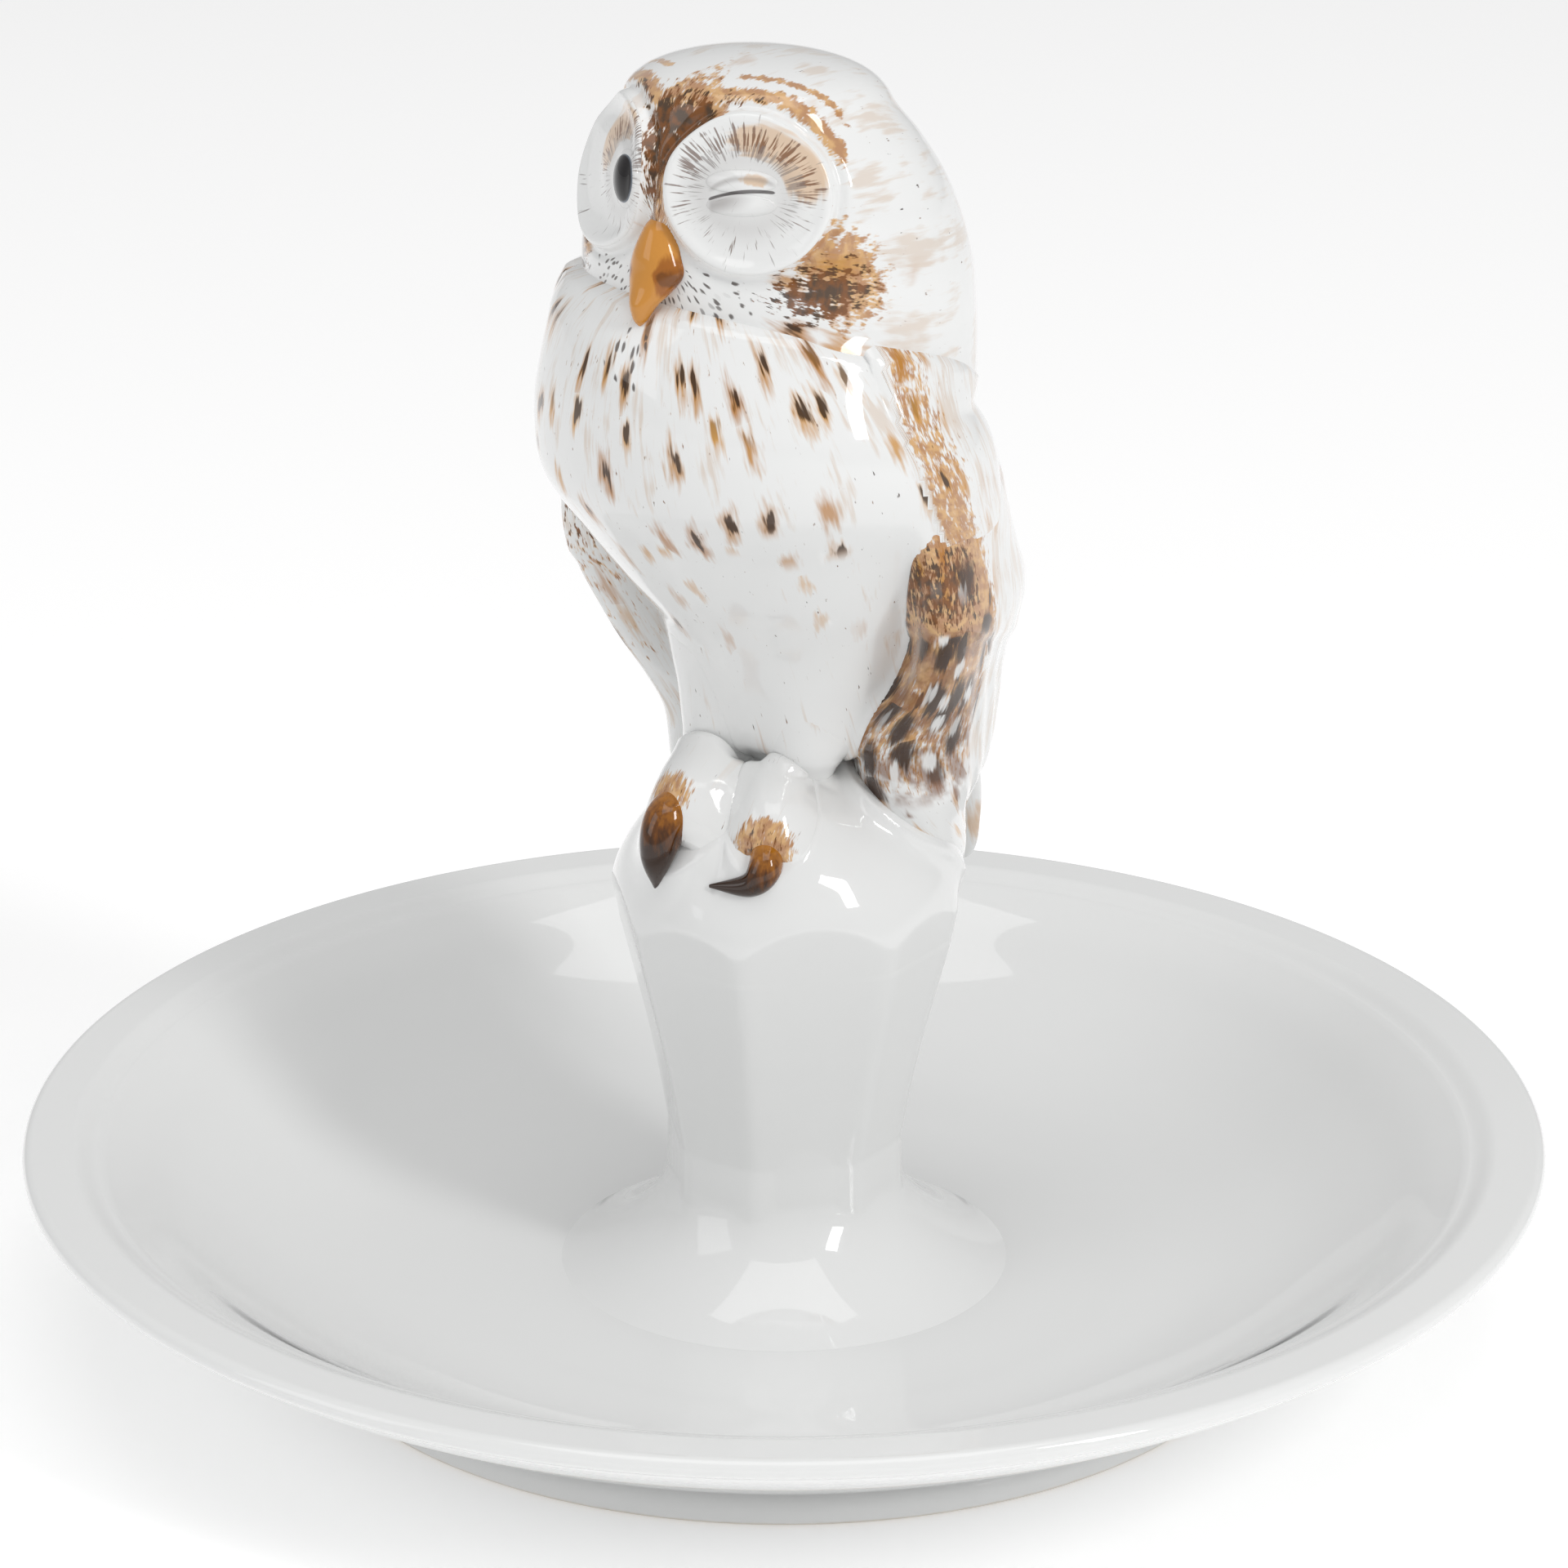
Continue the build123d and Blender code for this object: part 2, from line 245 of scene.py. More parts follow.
def filleted(skin: Skin, neighbours: Sequence[tuple[Field, float]]) -> Skin:
    """Lifts a skin into a soft fillet along its seams, as slip and glaze fill them.

    Args:
        skin: the piece's surface.
        neighbours: each neighbour's distance field, and how wide the fillet to it is.

    Returns:
        The lifted skin. Past the seam it dives under the neighbour.
    """
    normals = skin.normals()
    rise = np.zeros(len(skin.points))
    for _ in range(4):
        spots = skin.points + normals * rise[:, None]
        lift = np.zeros_like(rise)
        for distance, width in neighbours:
            nearness = np.clip(1 - np.maximum(distance(spots) - rise, 0) / width, 0, 1)
            lift = np.maximum(lift, width / 4 * nearness**2)
        rise = lift
    return skin.raised(rise, normals)


def tube(path: Array, widths: Array, around: int, steps: int) -> Skin:
    """A tapered round body along a smooth path.

    Args:
        path: three or more points along the middle.
        widths: the radius at each of those points.
        around: points round each ring.
        steps: rings along the path.

    Returns:
        The closed skin, with the painting value "along" from 0 to 1.
    """
    keys = np.linspace(0, 1, len(path))
    t = 0.5 - 0.5 * np.cos(np.linspace(0, np.pi, steps + 2)[1:-1])
    middle = np.stack([through(t, keys, path[:, axis]) for axis in range(3)], axis=1)
    radius = through(t, keys, widths)
    radius = radius * np.sqrt(np.clip(1 - np.clip(1 - t / 0.12, 0, 1) ** 2, 0, 1))
    ahead = unit(np.gradient(middle, axis=0))
    across = unit(np.cross(ahead, np.array([0.3, 0.2, 1.0])))
    over = np.cross(across, ahead)
    angle = np.linspace(0, 2 * np.pi, around, endpoint=False)
    wheel = np.cos(angle)[None, :, None] * across[:, None] + np.sin(angle)[None, :, None] * over[:, None]
    rings = middle[:, None] + wheel * radius[:, None, None]
    skin = ring_grid(rings[:, ::-1], path[0], path[-1])
    skin.paint["along"] = np.concatenate([np.repeat(t, around), [0.0, 1.0]])
    return skin


def make_piece(
    name: str, skin: Skin, material: bpy.types.Material, nodes: Sequence[str]
) -> bpy.types.Object:
    """Makes a mesh object from a skin and ties it to the frame.

    Args:
        name: the piece's name.
        skin: its surface in millimetres.
        material: its finish.
        nodes: the CAD nodes that it stands for.

    Returns:
        The new object.
    """
    mesh = bpy.data.meshes.new(name)
    blocks = [block.tolist() for block in skin.faces]
    mesh.from_pydata((skin.points * MM).tolist(), [], [face for block in blocks for face in block])
    for label, values in skin.paint.items():
        if values.ndim == 2:
            layer = mesh.attributes.new(label, "FLOAT_VECTOR", "POINT")
            layer.data.foreach_set("vector", np.ascontiguousarray(values, dtype=np.float32).ravel())
        else:
            layer = mesh.attributes.new(label, "FLOAT", "POINT")
            layer.data.foreach_set("value", np.ascontiguousarray(values, dtype=np.float32))
    mesh.polygons.foreach_set("use_smooth", [True] * len(mesh.polygons))
    mesh.materials.append(material)
    mesh.update()
    piece = bpy.data.objects.new(name, mesh)
    bpy.context.scene.collection.objects.link(piece)
    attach(piece, ROOT)
    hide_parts(*nodes)
    log.info("%s: %d faces, stands for %s", name, len(mesh.polygons), ", ".join(nodes))
    return piece


# ---------------------------------------------------------------- shader kit


class Graph:
    """Adds and links nodes in one node tree."""

    def __init__(self, tree: bpy.types.NodeTree) -> None:
        """Keeps the tree that is built."""
        self.tree = tree

    def node(self, kind: str, **settings: object) -> bpy.types.Node:
        """Adds a node and sets its properties."""
        made = self.tree.nodes.new(kind)
        for key, value in settings.items():
            setattr(made, key, value)
        return made

    def feed(self, socket: bpy.types.NodeSocket, source: object) -> None:
        """Links a source to a socket, or sets the socket to a plain value."""
        if isinstance(source, bpy.types.NodeSocket):
            self.tree.links.new(source, socket)
        else:
            socket.default_value = source

    def math(self, operation: str, first: object, second: object, clamp: bool = False) -> bpy.types.NodeSocket:
        """One Math node's result."""
        made = self.node("ShaderNodeMath", operation=operation, use_clamp=clamp)
        self.feed(made.inputs[0], first)
        self.feed(made.inputs[1], second)
        return made.outputs[0]

    def times(self, first: object, second: object) -> bpy.types.NodeSocket:
        """Two values multiplied."""
        return self.math("MULTIPLY", first, second)

    def plus(self, first: object, second: object) -> bpy.types.NodeSocket:
        """Two values added."""
        return self.math("ADD", first, second)

    def minus(self, first: object, second: object) -> bpy.types.NodeSocket:
        """The first value less the second."""
        return self.math("SUBTRACT", first, second)

    def place(self) -> bpy.types.NodeSocket:
        """The place on the object, in metres."""
        return self.node("ShaderNodeTexCoord").outputs["Object"]

    def step(self, value: object, low: object, high: object) -> bpy.types.NodeSocket:
        """A smooth step from 0 at low to 1 at high."""
        made = self.node("ShaderNodeMapRange", interpolation_type="SMOOTHSTEP")
        for socket, source in zip(("Value", "From Min", "From Max"), (value, low, high)):
            self.feed(made.inputs[socket], source)
        return made.outputs[0]

    def stretch(self, vector: object, scale: object) -> bpy.types.NodeSocket:
        """A vector multiplied part by part."""
        made = self.node("ShaderNodeVectorMath", operation="MULTIPLY")
        self.feed(made.inputs[0], vector)
        self.feed(made.inputs[1], scale)
        return made.outputs[0]

    def shift(self, vector: object, offset: object) -> bpy.types.NodeSocket:
        """A vector plus an offset."""
        made = self.node("ShaderNodeVectorMath", operation="ADD")
        self.feed(made.inputs[0], vector)
        self.feed(made.inputs[1], offset)
        return made.outputs[0]

    def noise(self, vector: object, scale: float, detail: float = 2.0) -> bpy.types.NodeSocket:
        """Soft noise from 0 to 1."""
        made = self.node("ShaderNodeTexNoise")
        self.feed(made.inputs["Vector"], vector)
        made.inputs["Scale"].default_value = scale
        made.inputs["Detail"].default_value = detail
        return made.outputs["Fac"]

    def mix(self, share: object, under: object, over: object) -> bpy.types.NodeSocket:
        """Two colours mixed by a share."""
        made = self.node("ShaderNodeMix", data_type="RGBA")
        self.feed(made.inputs[0], share)
        self.feed(made.inputs[6], under)
        self.feed(made.inputs[7], over)
        return made.outputs[2]

    def attribute(self, name: str, vector: bool = False) -> bpy.types.NodeSocket:
        """A painting value kept on the mesh."""
        made = self.node("ShaderNodeAttribute", attribute_name=name)
        return made.outputs["Vector" if vector else "Fac"]

    def group(self, tree: bpy.types.NodeTree, **inputs: object) -> bpy.types.Node:
        """Places a shared group and feeds its named inputs."""
        made = self.node("ShaderNodeGroup", node_tree=tree)
        for key, source in inputs.items():
            self.feed(made.inputs[key], source)
        return made


def new_group(name: str, inputs: dict, outputs: dict) -> tuple:
    """Starts a shader node group.

    Args:
        name: the group's name.
        inputs: socket kinds by input name.
        outputs: socket kinds by output name.

    Returns:
        The tree, its Graph, its input sockets by name and its output node.
    """
    tree = bpy.data.node_groups.new(name, "ShaderNodeTree")
    for label, kind in inputs.items():
        tree.interface.new_socket(label, in_out="INPUT", socket_type="NodeSocket" + kind)
    for label, kind in outputs.items():
        tree.interface.new_socket(label, in_out="OUTPUT", socket_type="NodeSocket" + kind)
    graph = Graph(tree)
    start = graph.node("NodeGroupInput")
    return tree, graph, start.outputs, graph.node("NodeGroupOutput")


def dabs_group() -> bpy.types.NodeTree:
    """Feather dabs: soft strokes with a dark core, laid out along the lie of the feathers."""
    tree, g, given, out = new_group(
        "feather_dabs",
        {"Lie": "Vector", "Size": "Vector", "Amount": "Float", "Depth": "Float", "Core Size": "Float"},
        {"Soft": "Float", "Core": "Float", "Chance": "Float"},
    )
    hairs = g.minus(g.noise(g.stretch(given["Lie"], (1.7, 0.2, 1.0)), 1.0, 2.0), 0.5)
    drift = g.node("ShaderNodeTexNoise")
    g.feed(drift.inputs["Vector"], given["Lie"])
    drift.inputs["Scale"].default_value = 0.1
    wander = g.stretch(g.shift(drift.outputs["Color"], (-0.5, -0.5, -0.5)), (4.0, 4.0, 0.0))
    placed = g.stretch(g.shift(given["Lie"], wander), given["Size"])
    cells = g.node("ShaderNodeTexVoronoi", voronoi_dimensions="2D")
    g.feed(cells.inputs["Vector"], placed)
    cells.inputs["Scale"].default_value = 1.0
    cells.inputs["Randomness"].default_value = 0.8
    dice = g.node("ShaderNodeSeparateColor")
    g.feed(dice.inputs[0], cells.outputs["Color"])
    away = g.shift(placed, g.stretch(cells.outputs["Position"], (-1.0, -1.0, 0.0)))
    stroke = g.node("ShaderNodeVectorMath", operation="LENGTH")
    g.feed(stroke.inputs[0], g.stretch(away, (1.9, 1.15, 0.0)))
    spot = g.node("ShaderNodeVectorMath", operation="LENGTH")
    g.feed(spot.inputs[0], g.stretch(g.shift(away, (0.03, 0.06, 0.0)), (3.0, 2.0, 0.0)))
    here = g.step(g.minus(given["Amount"], dice.outputs[0]), 0.0, 0.1)
    reach = g.plus(stroke.outputs["Value"], g.times(hairs, 0.9))
    wide = g.plus(g.times(dice.outputs[1], 0.2), 0.42)
    soft = g.times(g.step(reach, wide, 0.05), here)
    dark = g.step(g.minus(given["Depth"], dice.outputs[2]), 0.0, 0.15)
    inner = g.plus(spot.outputs["Value"], g.times(hairs, 1.3))
    core = g.times(g.step(inner, given["Core Size"], g.times(given["Core Size"], 0.45)), dark)
    g.feed(out.inputs["Soft"], soft)
    g.feed(out.inputs["Core"], g.times(core, here))
    g.feed(out.inputs["Chance"], dice.outputs[1])
    return tree


def patch_group() -> bpy.types.NodeTree:
    """A painted patch: a smooth level cut off along a brushy, mottled edge."""
    tree, g, given, out = new_group(
        "painted_patch",
        {"Level": "Float", "Lie": "Vector", "Fray": "Float"},
        {"Mask": "Float", "Mottle": "Float"},
    )
    brush = g.noise(g.stretch(given["Lie"], (1.3, 0.45, 1.0)), 1.0, 3.0)
    fine = g.noise(g.stretch(given["Lie"], (4.5, 0.9, 1.0)), 1.0, 1.0)
    rough = g.plus(g.minus(brush, 0.5), g.times(g.minus(fine, 0.5), 0.5))
    edge = g.plus(given["Level"], g.times(rough, given["Fray"]))
    g.feed(out.inputs["Mask"], g.step(edge, 0.4, 0.62))
    g.feed(out.inputs["Mottle"], g.step(g.noise(given["Lie"], 0.55, 3.0), 0.4, 0.62))
    return tree


def wash_group() -> bpy.types.NodeTree:
    """Pale brushed streaks that follow the lie of the feathers."""
    tree, g, given, out = new_group("brushed_wash", {"Lie": "Vector", "Amount": "Float"}, {"Mask": "Float"})
    broad = g.noise(g.stretch(given["Lie"], (0.32, 0.1, 1.0)), 1.0, 2.0)
    fine = g.noise(g.stretch(given["Lie"], (1.9, 0.16, 1.0)), 1.0, 3.0)
    both = g.plus(g.times(broad, 0.6), g.times(fine, 0.4))
    limit = g.minus(0.66, g.times(given["Amount"], 0.26))
    g.feed(out.inputs["Mask"], g.step(g.minus(both, limit), 0.0, 0.13))
    return tree


def hairs_group() -> bpy.types.NodeTree:
    """Fine hairs that stand out from an eye: ticks by angle inside a ring of given radius."""
    tree, g, given, out = new_group(
        "eye_hairs",
        {"Ring": "Vector", "Radius": "Float", "Width": "Float", "Count": "Float", "Amount": "Float"},
        {"Mask": "Float"},
    )
    parts = g.node("ShaderNodeSeparateXYZ")
    g.feed(parts.inputs[0], given["Ring"])
    place = g.node("ShaderNodeCombineXYZ")
    g.feed(place.inputs[0], g.times(parts.outputs[0], given["Count"]))
    g.feed(place.inputs[1], g.times(parts.outputs[1], given["Count"]))
    g.feed(place.inputs[2], g.times(parts.outputs[2], 0.22))
    ticks = g.noise(place.outputs[0], 1.0, 2.0)
    slow = g.noise(given["Ring"], 1.6, 1.0)
    middle = g.plus(given["Radius"], g.times(g.minus(slow, 0.5), 2.0))
    off = g.math("DIVIDE", g.minus(parts.outputs[2], middle), given["Width"])
    band = g.math("SUBTRACT", 1.0, g.times(off, off), clamp=True)
    level = g.times(band, given["Amount"])
    ticked = g.plus(ticks, g.times(level, 0.25))
    g.feed(out.inputs["Mask"], g.step(g.minus(ticked, 0.69), 0.0, 0.1))
    return tree


def skin_group() -> bpy.types.NodeTree:
    """The glaze's own unevenness: a slow wave and a faint orange peel, as a bump height."""
    tree, g, given, out = new_group("glaze_skin", {"Place": "Vector"}, {"Height": "Float"})
    slow = g.noise(given["Place"], 60.0, 2.0)
    peel = g.noise(given["Place"], 900.0, 1.0)
    g.feed(out.inputs["Height"], g.plus(slow, g.times(peel, 0.06)))
    return tree


@dataclass
class Effects:
    """The shader groups that several finishes share, each built once."""

    dabs: bpy.types.NodeTree = field(default_factory=dabs_group)
    patch: bpy.types.NodeTree = field(default_factory=patch_group)
    wash: bpy.types.NodeTree = field(default_factory=wash_group)
    hairs: bpy.types.NodeTree = field(default_factory=hairs_group)
    skin: bpy.types.NodeTree = field(default_factory=skin_group)


Colour = tuple[float, float, float, float]


@dataclass(frozen=True)
class Paints:
    """The painter's colours, in linear light."""

    white: Colour = (0.80, 0.805, 0.80, 1.0)
    beige: Colour = (0.64, 0.51, 0.40, 1.0)
    ochre: Colour = (0.63, 0.33, 0.08, 1.0)
    honey: Colour = (0.41, 0.155, 0.012, 1.0)
    rust: Colour = (0.18, 0.055, 0.003, 1.0)
    sepia: Colour = (0.028, 0.010, 0.003, 1.0)
    grey: Colour = (0.20, 0.17, 0.16, 1.0)
    amber: Colour = (0.58, 0.25, 0.04, 1.0)
    black: Colour = (0.006, 0.006, 0.007, 1.0)


@dataclass(frozen=True)
class Glaze:
    """Clear glaze over porcelain: how the finished surface shines."""

    roughness: float = 0.13
    coat: float = 1.0
    coat_roughness: float = 0.03
    bump: float = 0.05

    def shader(self, material: bpy.types.Material, effects: Effects) -> tuple:
        """Starts a material with the glaze on it.

        Args:
            material: the empty material.
            effects: the shared shader groups.

        Returns:
            The material's Graph and its Principled node.
        """
        material.use_nodes = True
        tree = material.node_tree
        tree.nodes.clear()
        graph = Graph(tree)
        body = graph.node("ShaderNodeBsdfPrincipled")
        body.inputs["Roughness"].default_value = self.roughness
        body.inputs["IOR"].default_value = 1.5
        body.inputs["Specular IOR Level"].default_value = 0.08
        body.inputs["Coat Weight"].default_value = self.coat
        body.inputs["Coat Roughness"].default_value = self.coat_roughness
        skin = graph.group(effects.skin, Place=graph.place())
        bump = graph.node("ShaderNodeBump")
        bump.inputs["Strength"].default_value = self.bump
        bump.inputs["Distance"].default_value = 0.0004
        graph.feed(bump.inputs["Height"], skin.outputs["Height"])
        graph.feed(body.inputs["Normal"], bump.outputs["Normal"])
        end = graph.node("ShaderNodeOutputMaterial")
        graph.feed(end.inputs["Surface"], body.outputs["BSDF"])
        return graph, body


# ---------------------------------------------------------------- finishes


@dataclass(frozen=True)
class WhiteGlaze:
    """Plain white porcelain under clear glaze, a little greyer where the glaze lies thick."""

    paints: Paints = Paints()
    glaze: Glaze = Glaze()

    def build(self, effects: Effects) -> bpy.types.Material:
        """Makes the material."""
        material = bpy.data.materials.new("white_glaze")
        graph, body = self.glaze.shader(material, effects)
        place = graph.place()
        cloud = graph.noise(place, 22.0, 2.0)
        tint = graph.mix(graph.times(cloud, 0.25), self.paints.white, (0.775, 0.785, 0.785, 1.0))
        graph.feed(body.inputs["Base Color"], tint)
        return material


@dataclass(frozen=True)
class BareFoot:
    """The standing edge of the foot ring: glazed sides, and matt bare porcelain below."""

    paints: Paints = Paints()
    edge: float = 0.0007

    def build(self, effects: Effects) -> bpy.types.Material:
        """Makes the material."""
        material = bpy.data.materials.new("bare_foot")
        graph, body = Glaze(coat=0.0).shader(material, effects)
        place = graph.place()
        parts = graph.node("ShaderNodeSeparateXYZ")
        graph.feed(parts.inputs[0], place)
        wobble = graph.times(graph.noise(place, 300.0, 2.0), 0.0004)
        bare = graph.step(graph.minus(parts.outputs[2], wobble), self.edge, self.edge / 3)
        graph.feed(body.inputs["Base Color"], graph.mix(bare, self.paints.white, (0.70, 0.66, 0.60, 1.0)))
        graph.feed(body.inputs["Roughness"], graph.plus(0.12, graph.times(bare, 0.6)))
        return material


@dataclass(frozen=True)
class Plumage:
    """Painted feathers under glaze, driven by the painting values on each piece."""

    paints: Paints = Paints()
    glaze: Glaze = Glaze()
    dab_width: float = 5.2
    dab_length: float = 9.6
    blot_size: tuple = (1 / 5.6, 1 / 6.4, 1.0)
    gap_size: tuple = (1 / 5.2, 1 / 6.2, 1.0)
    speck_size: tuple = (0.62, 0.5, 1.0)

    def layers(self, graph: Graph, effects: Effects) -> bpy.types.NodeSocket:
        """Builds up the painted layers and returns their colour."""
        paints = self.paints
        lie = graph.attribute("lie", vector=True)
        size = (1.0 / self.dab_width, 1.0 / self.dab_length, 1.0)
        wash = graph.group(effects.wash, Lie=lie, Amount=graph.attribute("wash"))
        colour = graph.mix(graph.times(wash.outputs["Mask"], 0.55), paints.white, paints.beige)
        warm = graph.group(effects.patch, Level=graph.attribute("ochre"), Lie=lie, Fray=1.1)
        tint = graph.mix(warm.outputs["Mottle"], paints.honey, paints.ochre)
        colour = graph.mix(graph.times(warm.outputs["Mask"], 0.85), colour, tint)
        dabs = graph.group(
            effects.dabs, Lie=lie, Size=size, Amount=graph.attribute("dabs"), Depth=graph.attribute("depth")
        )
        dabs.inputs["Core Size"].default_value = 0.4
        strength = graph.times(dabs.outputs["Soft"], graph.attribute("warmth"))
        tone = graph.mix(dabs.outputs["Chance"], paints.ochre, paints.honey)
        colour = graph.mix(strength, colour, tone)
        colour = graph.mix(graph.times(dabs.outputs["Core"], 0.92), colour, paints.sepia)
        dark = graph.group(effects.patch, Level=graph.attribute("dark"), Lie=lie, Fray=1.9)
        deep = graph.mix(dark.outputs["Mottle"], paints.rust, paints.sepia)
        colour = graph.mix(graph.times(dark.outputs["Mask"], 0.93), colour, deep)
        blots = graph.attribute("blots")
        wide = graph.group(effects.dabs, Lie=lie, Size=self.blot_size, Amount=blots, Depth=blots)
        wide.inputs["Core Size"].default_value = 1.35
        ground = graph.times(graph.step(blots, 0.3, 0.8), graph.step(graph.noise(lie, 0.22, 3.0), 0.38, 0.6))
        colour = graph.mix(graph.times(ground, 0.7), colour, paints.rust)
        colour = graph.mix(graph.times(wide.outputs["Soft"], 0.8), colour, paints.rust)
        colour = graph.mix(graph.times(wide.outputs["Core"], 0.93), colour, paints.sepia)
        gaps = graph.group(
            effects.dabs, Lie=graph.shift(lie, (31.0, 17.0, 0.0)), Size=self.gap_size,
            Amount=graph.times(blots, 0.5), Depth=1.0,
        )
        gaps.inputs["Core Size"].default_value = 0.75
        colour = graph.mix(graph.times(gaps.outputs["Core"], 0.85), colour, paints.white)
        specks = graph.attribute("specks")
        small = graph.group(effects.dabs, Lie=lie, Size=self.speck_size, Amount=specks, Depth=1.0)
        small.inputs["Core Size"].default_value = 0.75
        return graph.mix(graph.times(small.outputs["Core"], 0.85), colour, paints.sepia)

    def build(self, effects: Effects) -> bpy.types.Material:
        """Makes the material."""
        material = bpy.data.materials.new("painted_plumage")
        graph, body = self.glaze.shader(material, effects)
        graph.feed(body.inputs["Base Color"], self.layers(graph, effects))
        return material


@dataclass(frozen=True)
class FacePaint:
    """The facial discs: hairs that stand out round each eye, over white."""

    paints: Paints = Paints()
    glaze: Glaze = Glaze()

    def build(self, effects: Effects) -> bpy.types.Material:
        """Makes the material."""
        material = bpy.data.materials.new("painted_disc")
        graph, body = self.glaze.shader(material, effects)
        ring = graph.attribute("ring", vector=True)
        paints = self.paints
        warm = graph.group(effects.patch, Level=graph.attribute("ochre"), Lie=ring, Fray=0.5)
        colour = graph.mix(graph.times(warm.outputs["Mask"], 0.55), paints.white, paints.ochre)
        shade = graph.attribute("shade")
        colour = graph.mix(graph.times(shade, 0.75), colour, paints.grey)
        far = graph.group(
            effects.hairs, Ring=ring, Radius=8.2, Width=2.4, Count=24.0, Amount=graph.attribute("hairs")
        )
        near = graph.group(
            effects.hairs, Ring=graph.shift(ring, (3.0, 1.0, 0.0)), Radius=6.4, Width=1.8, Count=26.0,
            Amount=graph.attribute("hairs"),
        )
        brown = graph.mix(graph.attribute("ochre"), paints.grey, paints.rust)
        colour = graph.mix(graph.times(far.outputs["Mask"], 0.85), colour, brown)
        colour = graph.mix(graph.times(near.outputs["Mask"], 0.6), colour, paints.grey)
        line = graph.step(graph.attribute("line"), 0.35, 0.7)
        colour = graph.mix(graph.times(line, 0.85), colour, (0.05, 0.04, 0.04, 1.0))
        graph.feed(body.inputs["Base Color"], colour)
        return material


@dataclass(frozen=True)
class TipPaint:
    """A beak or claw: on a claw one colour at the root runs into another along its length; on the beak the
    same colours follow painted shade down its sides.
    """

    name: str
    root: Colour
    middle: Colour
    tip: Colour
    first: float = 0.3
    second: float = 0.75

    def build(self, effects: Effects) -> bpy.types.Material:
        """Makes the material."""
        material = bpy.data.materials.new(self.name)
        graph, body = Glaze(roughness=0.16).shader(material, effects)
        place = graph.place()
        grain = graph.noise(graph.stretch(place, (1.0, 1.0, 0.3)), 1400.0, 2.0)
        # On a claw this is the share along its length; on the beak it is painted shade.
        along = graph.plus(graph.attribute("along"), graph.times(graph.minus(grain, 0.5), 0.5))
        colour = graph.mix(graph.step(along, self.first - 0.2, self.first + 0.2), self.root, self.middle)
        colour = graph.mix(graph.step(along, self.second - 0.2, self.second + 0.2), colour, self.tip)
        graph.feed(body.inputs["Base Color"], colour)
        return material


@dataclass(frozen=True)
class EyePaint:
    """A black eye with a thin blue-grey rim."""

    paints: Paints = Paints()

    def build(self, effects: Effects) -> bpy.types.Material:
        """Makes the material."""
        material = bpy.data.materials.new("painted_eye")
        graph, body = Glaze(roughness=0.04, coat=0.4).shader(material, effects)
        rim = graph.step(graph.attribute("along"), 0.86, 0.99)
        cloud = graph.noise(graph.place(), 500.0, 2.0)
        inner = graph.mix(cloud, self.paints.black, (0.016, 0.013, 0.014, 1.0))
        graph.feed(body.inputs["Base Color"], graph.mix(rim, inner, (0.22, 0.25, 0.29, 1.0)))
        return material


# ---------------------------------------------------------------- dish and column


